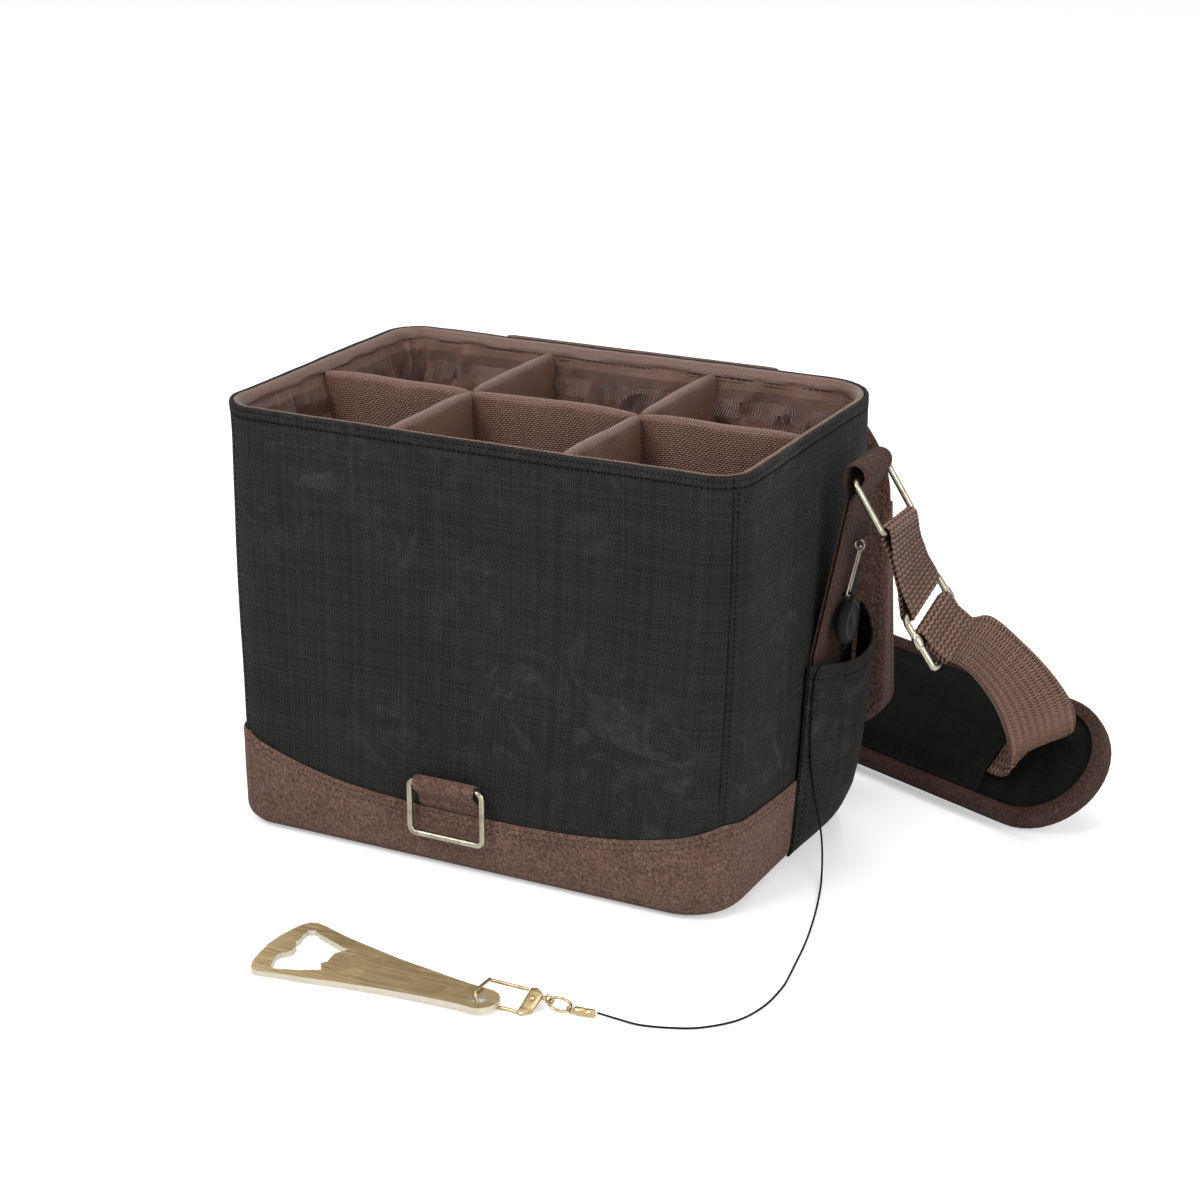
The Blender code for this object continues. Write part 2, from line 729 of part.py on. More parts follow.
# Webbing through the pad's sleeve
run_low = pad_thickness + binding_reach + webbing_clearance
run_middle = run_low + strap_thickness / 2
run_first = pad_width / 2 - strap_width / 2
run_last = pad_width / 2 + strap_width / 2
sleeve_edge = binding_lap + skin_gap
sleeve_in = pad_thickness + skin_gap
sleeve_over = run_low + strap_thickness + webbing_clearance
sleeve_profile = [
    (sleeve_edge, sleeve_in), (sleeve_edge, sleeve_in + sleeve_thickness),
    (run_first - webbing_clearance - sleeve_thickness * 2, sleeve_over + sleeve_thickness),
    (run_last + webbing_clearance + sleeve_thickness * 2, sleeve_over + sleeve_thickness),
    (pad_width - sleeve_edge, sleeve_in + sleeve_thickness), (pad_width - sleeve_edge, sleeve_in),
    (pad_width - sleeve_edge - sleeve_thickness * 2, sleeve_in),
    (run_last + webbing_clearance, sleeve_over), (run_first - webbing_clearance, sleeve_over),
    (sleeve_edge + sleeve_thickness * 2, sleeve_in),
]
sweep("pad_sleeve", [[pad_point(end, u, out) for u, out in sleeve_profile] for end in (sleeve_hem - sleeve_length, sleeve_hem)], canvas)
pad_left = pad_tip - pad_length - webbing_clearance * 10


def strip(name, edges, thickness, material):
    """Flat strip between two edge curves."""
    sections = []
    count = len(edges)
    for i, (a, b) in enumerate(edges):
        back, on = edges[max(i - 1, 0)], edges[min(i + 1, count - 1)]
        along = (on[0] + on[1] - back[0] - back[1]).normalized()
        half = along.cross(b - a).normalized() * thickness / 2
        sections.append([a - half, b - half, b + half, a + half])
    return sweep(name, sections, material)


run_edges = [(pad_point(s, run_first, run_middle), pad_point(s, run_last, run_middle)) for s in (webbing_split, pad_left)]
strip("webbing_pad", run_edges, strap_thickness, webbing)

# Webbing from the slider down to the pad, and its bend out of the sleeve
end_twist = skew_at(end_point[1]) * strap_width / 2
start_near = Vector((end_point[0], strap_centre - strap_width / 2, end_point[1] - end_twist))
start_far = Vector((end_point[0], strap_centre + strap_width / 2, end_point[1] + end_twist))
step_on = Vector((end_way[0], 0, end_way[1]))
lift_near = Vector((end_way[1] * -half_pair, 0, end_way[0] * half_pair))
split = webbing_split + skin_gap
near_points = [
    start_near + step_on * skin_gap * 2 + lift_near,
    Vector((0.2128, 0.0150, 0.1125)),
    Vector((0.2170, 0.0340, 0.0955)),
    Vector((0.2184, 0.0540, 0.0759)),
    Vector((0.2176, 0.0740, 0.0537)),
    Vector((0.2120, 0.0960, 0.0335)),
    pad_point(sleeve_hem + run_first * 0.5, run_first, run_middle),
    pad_point(sleeve_hem * 0.2, run_first, run_middle),
    pad_point(split, run_first, run_middle),
]
far_points = [
    start_far + step_on * skin_gap * 2 + lift_near,
    Vector((0.2149, 0.0483, 0.1282)),
    Vector((0.2260, 0.0653, 0.1108)),
    Vector((0.2365, 0.0810, 0.0914)),
    Vector((0.2438, 0.0950, 0.0713)),
    Vector((0.2405, 0.1150, 0.0520)),
    pad_point(sleeve_hem + run_last * 0.5, run_last, run_middle),
    pad_point(sleeve_hem * 0.9, run_last, run_middle),
    pad_point(split, run_last, run_middle),
]
near_curve = curve_through(near_points, 26)
far_curve = curve_through(far_points, 26)
strip("webbing_right", list(zip(near_curve, far_curve)), strap_thickness, webbing)

# Webbing from the pad's other end, over the floor behind the bag, to the left slider
left_near = Vector((-left_end_point[0], strap_centre - strap_width / 2, left_end_point[1]))
left_far = Vector((-left_end_point[0], strap_centre + strap_width / 2, left_end_point[1]))
floor_height = strap_thickness / 2 + skin_gap
floor_route = curve_through([(x, y, floor_height) for x, y in run_route], 26)
inner_edge, outer_edge = [], []
for i, spot in enumerate(floor_route):
    along = (floor_route[min(i + 1, 25)] - floor_route[max(i - 1, 0)]).normalized()
    square = Vector((along[1], -along[0], 0)) * strap_width / 2
    inner_edge.append(spot - square)
    outer_edge.append(spot + square)
pad_exit = pad_left - skin_gap
low_exit = pad_point(pad_exit, run_first, run_middle)
high_exit = pad_point(pad_exit, run_last, run_middle)
step_left = Vector((-left_end_way[0], 0, left_end_way[1]))
lift_left = Vector((left_end_way[1] * half_pair, 0, -left_end_way[0] * half_pair))
edge_a = [low_exit, low_exit - pad_along * strap_width * 0.3] + inner_edge[3:-3:3]
edge_b = [high_exit, high_exit - pad_along * strap_width * 0.3] + outer_edge[3:-3:3]
for x, y, z, share in run_rise:
    edge_a.append(Vector((x, y + strap_width * share, z)))
    edge_b.append(Vector((x, y - strap_width * (1 - share), z)))
edge_a.append(left_far + step_left * skin_gap * 2.5 + lift_left)
edge_b.append(left_near + step_left * skin_gap * 2.5 + lift_left)
resting = []
for a, b in zip(curve_through(edge_a, 52), curve_through(edge_b, 52)):
    resting.append([Vector((spot[0], spot[1], max(spot[2], floor_height))) for spot in (a, b)])
strip("webbing_left", resting, strap_thickness, webbing)

# Lid, open and hanging behind the bag
lid_face = rim_half_depth + lid_gap
foam_low = suede_thickness + skin_gap
foam_high = foam_low + lid_foam
lid_total = foam_high + skin_gap + lid_lining
hinge_y = rim_half_depth + hinge_setback
hinge_z = rim_height + lid_rest_gap + lid_total + lid_face - hinge_y
lid_pivot = (0, hinge_y, hinge_z)
lid_half = rim_half_length + lid_side_clearance + suede_thickness
lid_reach = hinge_y + rim_half_depth + lid_front_clearance + suede_thickness


def lid_point(x, reach, depth):
    """A place on the hanging lid: across, away from the hinge, and in from its outer face."""
    return (x, lid_face + depth, hinge_z - reach)


def lid_outline(inset):
    """Outline in across and reach, from the back left corner round the front to the back right."""
    wide = lid_half - inset
    front = lid_reach - inset
    back = lid_start + inset
    points = []
    for centre_x, centre_r, radius, turn in (
        (-wide + lid_back_corner - inset, back + lid_back_corner - inset, lid_back_corner - inset, 270),
        (-wide + lid_front_corner - inset, front - lid_front_corner + inset, lid_front_corner - inset, 180),
        (wide - lid_front_corner + inset, front - lid_front_corner + inset, lid_front_corner - inset, 90),
        (wide - lid_back_corner + inset, back + lid_back_corner - inset, lid_back_corner - inset, 0),
    ):
        for step in range(6):
            angle = math.radians(turn - 18 * step)
            points.append((centre_x + radius * math.cos(angle), centre_r + radius * math.sin(angle)))
    return points


skirt_inset = suede_thickness + skin_gap
for name, low, high, inset, material in (
    ("lid_cover", 0, suede_thickness, 0, suede),
    ("lid_foam", foam_low, foam_high, skirt_inset, foam),
    ("lid_lining", foam_high + skin_gap, lid_total, skirt_inset, lining),
):
    layers = [[lid_point(x, reach, depth) for x, reach in lid_outline(inset)] for depth in (low, high)]
    sweep(name, layers, material, pivot=lid_pivot)
outer_line = lid_outline(0)
inner_line = lid_outline(suede_thickness)
skirt_rows = []
for i in range(4, len(outer_line) - 4):
    share = min(1, (outer_line[i][1] - outer_line[4][1]) / (outer_line[6][1] - outer_line[4][1]))
    deep = foam_low + skirt_end_depth + (skirt_depth - skirt_end_depth) * share
    skirt_rows.append([
        lid_point(*outer_line[i], foam_low), lid_point(*outer_line[i], deep),
        lid_point(*inner_line[i], deep), lid_point(*inner_line[i], foam_low),
    ])
sweep("lid_skirt", skirt_rows, suede, pivot=lid_pivot)
strip_z = hinge_z - hinge_strip_drop
strip_path = [(rim_half_depth + skin_gap, strip_z), (hinge_y, strip_z), (lid_face + lid_total - skin_gap, strip_z)]
ribbon("hinge_strip", [Vector((0, y, z)) for y, z in strip_path], hinge_strip_thickness, (1, 0, 0), hinge_strip_half_length * 2, canvas)

# Closure strap: a patch on the lid, the part that hangs and the part that lies on the floor
closure_y = lid_face - skin_gap - closure_thickness / 2
swing_z = hinge_z - lid_reach - closure_standoff
fold_z = closure_floor_gap + closure_thickness / 2
joint_gap = closure_thickness / 2 + skin_gap
swing_pivot = (front_ring_centre, closure_y, swing_z)
fold_pivot = (front_ring_centre, closure_y, fold_z)
for name, path, material, pivot in (
    ("closure_patch", ((closure_y, swing_z + joint_gap), (closure_y, hinge_z - lid_reach + closure_patch)), suede, lid_pivot),
):
    ribbon(name, [Vector((front_ring_centre, y, z)) for y, z in path], closure_thickness, (1, 0, 0), closure_width, material, pivot=pivot)


def rounded_strap(name, pivot, way, far):
    """A flat strap with one end rounded about the fold it turns on."""
    pivot, way = Vector(pivot), Vector(way)
    wide = Vector((closure_width / 2, 0, 0))
    square = Vector((0, -way[2], way[1]))
    sections = []
    for angle in (80, 50, 20, 0):
        spot = pivot - way * (closure_thickness / 2 * math.sin(math.radians(angle)))
        half = square * (closure_thickness / 2 * math.cos(math.radians(angle)))
        sections.append([spot - wide - half, spot + wide - half, spot + wide + half, spot - wide + half])
    half = square * closure_thickness / 2
    spot = pivot + way * far
    sections.append([spot - wide - half, spot + wide - half, spot + wide + half, spot - wide + half])
    return sweep(name, sections, suede, pivot=pivot)


rounded_strap("closure_upper", swing_pivot, (0, 0, -1), swing_z - fold_z - joint_gap)
rounded_strap("closure_lower", fold_pivot, (0, 1, 0), joint_gap + closure_length)
hook_start = closure_y + joint_gap + closure_length + skin_gap
hook_low = fold_z - closure_thickness / 2
hook_half = hook_width / 2
bend = hook_thickness * 2
hook_outline = [
    (-hook_half, 0), (hook_half, 0), (hook_half, hook_length * 0.62),
    (hook_half - bend, hook_length * 0.85), (hook_half - 2 * bend, hook_length), (-hook_half + 2 * bend, hook_length),
    (-hook_half + bend, hook_length * 0.85), (-hook_half, hook_length * 0.55),
    (-hook_half + bend, hook_length * 0.55), (-hook_half + bend * 1.6, hook_length * 0.72),
    (hook_half - bend * 1.6, hook_length * 0.72), (hook_half - bend, hook_length * 0.5),
    (hook_half - bend, hook_length * 0.25), (-hook_half, hook_length * 0.25),
]
sweep(
    "closure_hook",
    [[(front_ring_centre + x, hook_start + y, height) for x, y in hook_outline] for height in (hook_low, hook_low + hook_thickness)],
    nickel,
    pivot=fold_pivot,
)


# Reel at the pocket's mouth, hung from an eyelet on the right tab
def tab_face(height):
    share = (height - tab_mouth) / tab_lean[1]
    return tab_mouth_reach + tab_lean[0] * share + half_pair + strap_thickness / 2 / tab_lean[1]


def ring_points(centre, radius, first, second, steps=12):
    first, second = Vector(first), Vector(second)
    return [
        Vector(centre) + first * radius * math.cos(2 * math.pi * k / steps) + second * radius * math.sin(2 * math.pi * k / steps)
        for k in range(steps)
    ]


def disc(name, centre, radius, half_thick, axis, material, steps=20, pivot=(0, 0, 0)):
    axis = Vector(axis).normalized()
    first = axis.orthogonal().normalized()
    second = axis.cross(first)
    sections = [ring_points(Vector(centre) + axis * half_thick * sign, radius, first, second, steps) for sign in (-1, 1)]
    return sweep(name, sections, material, pivot=pivot)


eyelet_x = tab_face(eyelet_height) + skin_gap + eyelet_radius + link_wire_radius
wire("tab_eyelet", ring_points((eyelet_x, strap_centre, eyelet_height), eyelet_radius, (1, 0, 0), (0, 0, 1), 14), link_wire_radius, nickel, (0, 1, 0), closed=True, sides=6)
reel_x = half_length(reel_height) + reel_reach
lug_z = reel_height + reel_radius + eyelet_radius * 0.6
case = disc("reel_case", (reel_x, strap_centre, reel_height), reel_radius, reel_thickness / 2, (1, 0, 0), black, 24)
lug = wire("reel_lug", ring_points((reel_x, strap_centre, lug_z), eyelet_radius, (0, 0, 1), (1, 0, 0), 14), link_wire_radius * 1.3, black, (0, 1, 0), closed=True, sides=6)
hollow = disc("reel_hollow", (reel_x, strap_centre, reel_height), reel_radius - reel_wall, reel_thickness / 2 - reel_wall, (1, 0, 0), black, 24)
slot_half_wide = reel_wall
slot_corners = [(-slot_half_wide, -slot_half_wide * 3), (slot_half_wide, -slot_half_wide * 3), (slot_half_wide, slot_half_wide * 3), (-slot_half_wide, slot_half_wide * 3)]
slot = sweep(
    "reel_slot",
    [[(reel_x + x, strap_centre + y, z) for x, y in slot_corners] for z in (reel_height - reel_radius - reel_wall, reel_height - reel_radius + reel_wall * 2)],
    black,
)
carved(case, [lug], "UNION")
carved(case, [hollow, slot])
disc(
    "reel_spool", (reel_x, strap_centre, reel_height), reel_radius - reel_wall - spool_gap, reel_thickness / 2 - reel_wall - spool_gap,
    (1, 0, 0), black, 20, pivot=(reel_x, strap_centre, reel_height),
)
link_high = eyelet_height - eyelet_radius + link_wire_radius * 2 + skin_gap
link_low = lug_z + eyelet_radius - link_wire_radius * 2.3 - skin_gap
link_half = link_wire_radius * 3
high_x = eyelet_x
link_points = []
for k in range(6):
    angle = math.pi * k / 5
    link_points.append(Vector((high_x, strap_centre + link_half * math.cos(angle), link_high - link_half + link_half * math.sin(angle))))
for k in range(6):
    angle = math.pi + math.pi * k / 5
    link_points.append(Vector((reel_x, strap_centre + link_half * math.cos(angle), link_low + link_half + link_half * math.sin(angle))))
wire("hanger_link", link_points, link_wire_radius, nickel, (1, 0, 0), closed=True, sides=6)

# Opener and its chain
head_way = Vector((math.cos(math.radians(opener_heading)), math.sin(math.radians(opener_heading)), 0))
tail_lift = 2 * hook_wire_radius + chain_gap
rise_angle = math.asin(tail_lift / opener_reach)
long_way = (head_way * math.cos(rise_angle) - Vector((0, 0, math.sin(rise_angle)))).normalized()
wide_way = Vector((-head_way[1], head_way[0], 0))
plate_way = long_way.cross(wide_way).normalized()
if plate_way[2] < 0:
    plate_way = -plate_way
plate_origin = Vector((opener_hole_x, opener_hole_y, tail_lift))
outline_shares = (
    (0.055, 0.148), (0.231, 0.102), (0.406, 0.073), (0.581, 0.062), (0.753, 0.065), (0.886, 0.060), (0.946, 0.063),
    (0.975, 0.03), (0.988, -0.03), (0.999, -0.14), (1.0, -0.235), (0.998, -0.437), (0.981, -0.612), (0.946, -0.821),
    (0.928, -0.885), (0.909, -0.929), (0.875, -0.942), (0.819, -0.887), (0.719, -0.769), (0.610, -0.662), (0.424, -0.490),
    (0.223, -0.337), (0.080, -0.23),
)
window_shares = (
    (0.907, -0.042), (0.881, -0.021), (0.777, -0.054), (0.697, -0.110), (0.720, -0.229), (0.700, -0.262), (0.701, -0.400),
    (0.697, -0.442), (0.668, -0.502), (0.659, -0.529), (0.704, -0.577), (0.765, -0.658), (0.826, -0.738), (0.856, -0.800),
    (0.888, -0.777), (0.893, -0.692), (0.887, -0.594), (0.896, -0.548), (0.877, -0.460), (0.879, -0.377), (0.891, -0.329),
    (0.914, -0.313), (0.923, -0.248),
)


def plate_point(a, b, up):
    return plate_origin + long_way * a + wide_way * b + plate_way * up


opener_points = [(a * opener_reach, b * opener_head_width) for a, b in outline_shares]
for step in range(9):
    angle = math.radians(-90 - 22.5 * step)
    opener_points.append((opener_tail_radius * math.cos(angle), opener_tail_radius * math.sin(angle)))
opener = sweep(
    "opener",
    [[plate_point(a, b, up) for a, b in opener_points] for up in (0, opener_thickness)],
    brass,
    pivot=plate_origin,
)
overrun = opener_thickness
window = sweep(
    "opener_window",
    [[plate_point(a * opener_reach, b * opener_head_width, up) for a, b in window_shares] for up in (-overrun, opener_thickness + overrun)],
    brass,
)
bore = disc("opener_bore", plate_point(0, 0, opener_thickness / 2), opener_hole_radius, opener_thickness, plate_way, brass, 16)
carved(opener, [window, bore])

# Wire hook through the opener's hole, its sprung gate, body and swivel
leg_z = hook_wire_radius + chain_gap / 2
gate_z = tail_lift + opener_thickness + hook_wire_radius + chain_gap * 2
slope = math.atan2(gate_z - leg_z, hook_gate_y - hook_leg_y)


def hook_height(y):
    return leg_z + (y - hook_leg_y) * math.tan(slope)


tip_x = opener_hole_x - opener_hole_radius * 0.75
hook_path = [
    (hook_body_x - chain_gap, hook_leg_y, leg_z),
    (opener_hole_x + opener_tail_radius, hook_leg_y - chain_gap, leg_z),
    (opener_hole_x + opener_hole_radius * 0.4, opener_hole_y, leg_z),
    (opener_hole_x - chain_gap, opener_hole_y - chain_gap, leg_z + hook_wire_radius * 1.2),
    (opener_hole_x - opener_hole_radius * 0.4, opener_hole_y, tail_lift + opener_thickness / 2),
    (opener_hole_x - opener_hole_radius * 0.5, opener_hole_y + chain_gap * 2, tail_lift + opener_thickness + chain_gap),
    (tip_x, opener_hole_y + opener_hole_radius * 0.7, gate_z),
    (tip_x, opener_hole_y + opener_hole_radius * 2, gate_z + chain_gap),
    (tip_x, hook_gate_y + hook_wire_radius, gate_z),
]
wire("hook_frame", curve_through(hook_path, 22), hook_wire_radius, brass, (0.31, 0.2, 0.93))
gate_pivot = (hook_body_x - chain_gap - hook_wire_radius, hook_gate_y, gate_z)
wire("hook_gate", [(tip_x + hook_wire_radius + chain_gap, hook_gate_y, gate_z), gate_pivot], hook_wire_radius, brass, (0, 0, 1), pivot=gate_pivot)
body_end = hook_body_x + hook_body_length
body_outline = [
    (hook_body_x, hook_gate_y + hook_wire_radius), (hook_body_x, hook_leg_y - hook_wire_radius),
    (hook_body_x + hook_body_length * 0.3, hook_leg_y - hook_wire_radius * 2), (body_end - hook_wire_radius, hook_leg_y + hook_wire_radius * 2),
    (body_end, swivel_y - eye_wire_radius * 2.5), (body_end, swivel_y + eye_wire_radius * 2.5),
    (hook_body_x + hook_body_length * 0.4, hook_gate_y + hook_wire_radius * 2),
]
body_sections = []
for sign in (-1, 1):
    body_sections.append([(x, y, max(hook_height(y) + sign * hook_wire_radius * 1.2, chain_gap / 2 if sign < 0 else 0)) for x, y in body_outline])
sweep("hook_body", body_sections, brass)
rivet_y = (hook_gate_y + hook_leg_y) / 2 + hook_wire_radius * 2
tilt_up = Vector((0, -math.sin(slope), math.cos(slope)))
rivet_centre = Vector((hook_body_x + hook_body_length / 2, rivet_y, hook_height(rivet_y)))
disc("hook_rivet", rivet_centre + tilt_up * hook_wire_radius * 2, hook_wire_radius * 1.4, hook_wire_radius * 0.5, tilt_up, brass, 12)
swivel_z = hook_height(swivel_y)
eye_x = body_end + chain_gap * 2 + eye_radius + eye_wire_radius * 2
swivel_pivot = (body_end, swivel_y, swivel_z)
eye = wire("swivel_eye", ring_points((eye_x, swivel_y, swivel_z), eye_radius, (1, 0, 0), (0, 0, 1), 14), eye_wire_radius, brass, (0, 1, 0), closed=True, sides=8)
stem = disc("swivel_stem", (body_end + chain_gap + eye_wire_radius * 1.5, swivel_y, swivel_z), eye_wire_radius * 1.6, eye_wire_radius * 1.5, (1, 0, 0), brass, 10)
carved(eye, [stem], "UNION")
ferrule_z = ferrule_radius + chain_gap
ring_start = Vector((eye_x + eye_radius - eye_wire_radius - oval_wire_radius - chain_gap, swivel_y, swivel_z))
flat_reach = math.sqrt(max((2 * oval_radius) ** 2 - (swivel_z - ferrule_z) ** 2, oval_radius ** 2))
ring_end = Vector((ring_start[0] + flat_reach, swivel_y + oval_wire_radius, ferrule_z))
ring_way_3d = (ring_end - ring_start).normalized()
oval_centre = (ring_start + ring_end) / 2
wire("oval_ring", ring_points(oval_centre, oval_radius, ring_way_3d, (0, 1, 0), 20), oval_wire_radius, brass, ring_way_3d.cross(Vector((0, 1, 0))), closed=True, sides=6, pivot=ring_end)
ferrule_way = Vector((math.cos(math.radians(ferrule_turn)), math.sin(math.radians(ferrule_turn)), 0))
tongue_radius = oval_wire_radius * 2 + chain_gap * 2
tongue = disc("ferrule", ring_end, tongue_radius, oval_wire_radius * 0.9, (0, 1, 0), brass, 16)
hub_start = ring_end + ferrule_way * tongue_radius * 0.9
hub = wire("ferrule_hub", [hub_start, hub_start + ferrule_way * ferrule_length], ferrule_radius, brass, (0, 0, 1), sides=14)
ferrule_bore = disc("ferrule_bore", ring_end, oval_wire_radius + chain_gap, tongue_radius, (0, 1, 0), brass, 12)
carved(tongue, [hub], "UNION")
carved(tongue, [ferrule_bore])

cord_curve = bpy.data.curves.new("retract_cord", "CURVE")
cord_curve.dimensions = "3D"
cord_line = cord_curve.splines.new("POLY")
cord_points = curve_through(cord_route, 100)
cord_line.points.add(len(cord_points) - 1)
for spot, point in zip(cord_line.points, cord_points):
    spot.co = (*point, 1.0)
cord_curve.bevel_depth = cord_radius
cord_curve.bevel_resolution = 2
cord_curve.use_fill_caps = True
cord_curve.materials.append(black)
cord = bpy.data.objects.new("retract_cord", cord_curve)
bpy.context.scene.collection.objects.link(cord)
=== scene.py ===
import math

import bmesh
import bpy
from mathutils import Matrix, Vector, noise


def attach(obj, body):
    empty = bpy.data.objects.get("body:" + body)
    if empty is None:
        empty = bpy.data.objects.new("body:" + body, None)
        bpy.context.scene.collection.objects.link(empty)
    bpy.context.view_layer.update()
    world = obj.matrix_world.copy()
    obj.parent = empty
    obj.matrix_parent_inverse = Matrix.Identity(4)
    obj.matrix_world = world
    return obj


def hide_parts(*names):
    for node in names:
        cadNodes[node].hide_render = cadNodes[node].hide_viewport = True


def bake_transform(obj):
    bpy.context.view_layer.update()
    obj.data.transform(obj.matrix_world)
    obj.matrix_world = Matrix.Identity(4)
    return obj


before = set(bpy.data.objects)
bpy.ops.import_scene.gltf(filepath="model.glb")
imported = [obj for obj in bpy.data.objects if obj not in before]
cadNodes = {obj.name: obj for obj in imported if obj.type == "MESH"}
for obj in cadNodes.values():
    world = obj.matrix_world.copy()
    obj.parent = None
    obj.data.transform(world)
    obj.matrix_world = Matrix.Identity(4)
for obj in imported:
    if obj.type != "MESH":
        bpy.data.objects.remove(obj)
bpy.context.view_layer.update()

print("stage: frame loaded,", len(cadNodes), "nodes")

# camera at the height and angle of the photograph, fitted in a 1200 x 1200 picture
cameraView = {"lens": 77.06, "place": (0.5763, -1.0814, 0.5585), "turn": 26.996, "rise": 19.804}
cameraData = bpy.data.cameras.new("studioCamera")
cameraData.lens = cameraView["lens"]
cameraData.sensor_width = 36
cameraData.clip_start = 0.05
cameraData.clip_end = 30
camera = bpy.data.objects.new("studioCamera", cameraData)
bpy.context.scene.collection.objects.link(camera)
camera.location = cameraView["place"]
turn, rise = math.radians(cameraView["turn"]), math.radians(cameraView["rise"])
lookBack = Vector((math.sin(turn) * math.cos(rise), -math.cos(turn) * math.cos(rise), math.sin(rise)))
camera.rotation_mode = "QUATERNION"
camera.rotation_quaternion = (-lookBack).to_track_quat("-Z", "Y")
bpy.context.scene.camera = camera

# shader node groups, shared by the fabrics and metals


def addNode(tree, kind, values=None, **settings):
    made = tree.nodes.new(kind)
    for key, value in settings.items():
        setattr(made, key, value)
    for key, value in (values or {}).items():
        made.inputs[key].default_value = value
    return made


def join(tree, source, target):
    tree.links.new(source, target)


def maths(tree, operation, first, second=None, third=None):
    made = addNode(tree, "ShaderNodeMath", operation=operation)
    for slot, value in enumerate((first, second, third)):
        if value is None:
            continue
        if isinstance(value, (int, float)):
            made.inputs[slot].default_value = value
        else:
            join(tree, value, made.inputs[slot])
    return made.outputs[0]


def startGroup(name, inputs, outputs):
    group = bpy.data.node_groups.new(name, "ShaderNodeTree")
    for label, kind, value in inputs:
        socket = group.interface.new_socket(label, in_out="INPUT", socket_type=kind)
        if value is not None:
            socket.default_value = value
    for label, kind in outputs:
        group.interface.new_socket(label, in_out="OUTPUT", socket_type=kind)
    return group, group.nodes.new("NodeGroupInput"), group.nodes.new("NodeGroupOutput")


def makeWeaveGroup():
    # crossing threads, each with its own tone; Step 2 is a plain weave and 3 or more a twill
    weftHigh, warpSeed, weftSeed = 0.8, 3.7, 91.3
    group, start, end = startGroup(
        "crossedThreads",
        [("Place", "NodeSocketVector", None), ("Thread", "NodeSocketFloat", 0.0006), ("Step", "NodeSocketFloat", 2.0)],
        [("Height", "NodeSocketFloat"), ("Thread Tone", "NodeSocketFloat")],
    )
    split = addNode(group, "ShaderNodeSeparateXYZ")
    join(group, start.outputs["Place"], split.inputs[0])
    across = maths(group, "DIVIDE", split.outputs[0], start.outputs["Thread"])
    along = maths(group, "DIVIDE", split.outputs[1], start.outputs["Thread"])
    warp = maths(group, "ABSOLUTE", maths(group, "SINE", maths(group, "MULTIPLY", across, math.pi)))
    weft = maths(group, "ABSOLUTE", maths(group, "SINE", maths(group, "MULTIPLY", along, math.pi)))
    cell = maths(group, "ADD", maths(group, "FLOOR", across), maths(group, "FLOOR", along))
    over = maths(group, "LESS_THAN", maths(group, "FLOORED_MODULO", cell, start.outputs["Step"]), 0.5)
    upper = maths(group, "MULTIPLY", warp, over)
    under = maths(group, "SUBTRACT", 1.0, over)
    lower = maths(group, "MULTIPLY", weft, under)
    join(group, maths(group, "ADD", upper, maths(group, "MULTIPLY", lower, weftHigh)), end.inputs["Height"])
    tones = []
    for run, showing, seed in ((across, over, warpSeed), (along, under, weftSeed)):
        grain = addNode(group, "ShaderNodeTexWhiteNoise", noise_dimensions="1D")
        join(group, maths(group, "ADD", maths(group, "FLOOR", run), seed), grain.inputs["W"])
        tones.append(maths(group, "MULTIPLY", grain.outputs["Value"], showing))
    join(group, maths(group, "ADD", tones[0], tones[1]), end.inputs["Thread Tone"])
    return group


def makeNapGroup():
    # short fibres brushed both ways, as on suede
    group, start, end = startGroup(
        "brushedNap",
        [("Place", "NodeSocketVector", None), ("Scale", "NodeSocketFloat", 700.0)],
        [("Mottle", "NodeSocketFloat"), ("Height", "NodeSocketFloat"), ("Speck", "NodeSocketFloat")],
    )
    broad = addNode(group, "ShaderNodeTexNoise", {"Scale": 34.0, "Detail": 4.0, "Roughness": 0.6, "Distortion": 0.4})
    fine = addNode(group, "ShaderNodeTexNoise", {"Detail": 3.0, "Roughness": 0.7})
    speck = addNode(group, "ShaderNodeTexNoise", {"Scale": 900.0, "Detail": 2.0, "Roughness": 0.6})
    for made in (broad, fine, speck):
        join(group, start.outputs["Place"], made.inputs["Vector"])
    join(group, start.outputs["Scale"], fine.inputs["Scale"])
    join(group, broad.outputs[0], end.inputs["Mottle"])
    join(group, fine.outputs[0], end.inputs["Height"])
    spots = addNode(group, "ShaderNodeMapRange", {"From Min": 0.56, "From Max": 0.72})
    join(group, speck.outputs[0], spots.inputs[0])
    join(group, spots.outputs[0], end.inputs["Speck"])
    return group


def makeScuffGroup():
    # soft pale rub marks and broad shade changes of a waxed or handled surface
    group, start, end = startGroup(
        "rubMarks",
        [("Place", "NodeSocketVector", None), ("Amount", "NodeSocketFloat", 1.0)],
        [("Marks", "NodeSocketFloat"), ("Shade", "NodeSocketFloat")],
    )
    broad = addNode(group, "ShaderNodeTexNoise", {"Scale": 9.0, "Detail": 4.0, "Roughness": 0.55, "Distortion": 0.8})
    streak = addNode(group, "ShaderNodeTexNoise", {"Scale": 38.0, "Detail": 6.0, "Roughness": 0.62, "Distortion": 2.2})
    for made in (broad, streak):
        join(group, start.outputs["Place"], made.inputs["Vector"])
    thin = addNode(group, "ShaderNodeMapRange", {"From Min": 0.50, "From Max": 0.80})
    join(group, streak.outputs[0], thin.inputs[0])
    wide = addNode(group, "ShaderNodeMapRange", {"From Min": 0.40, "From Max": 0.72})
    join(group, broad.outputs[0], wide.inputs[0])
    marks = maths(group, "MULTIPLY", thin.outputs[0], wide.outputs[0])
    join(group, maths(group, "MULTIPLY", marks, start.outputs["Amount"]), end.inputs["Marks"])
    join(group, broad.outputs[0], end.inputs["Shade"])
    return group


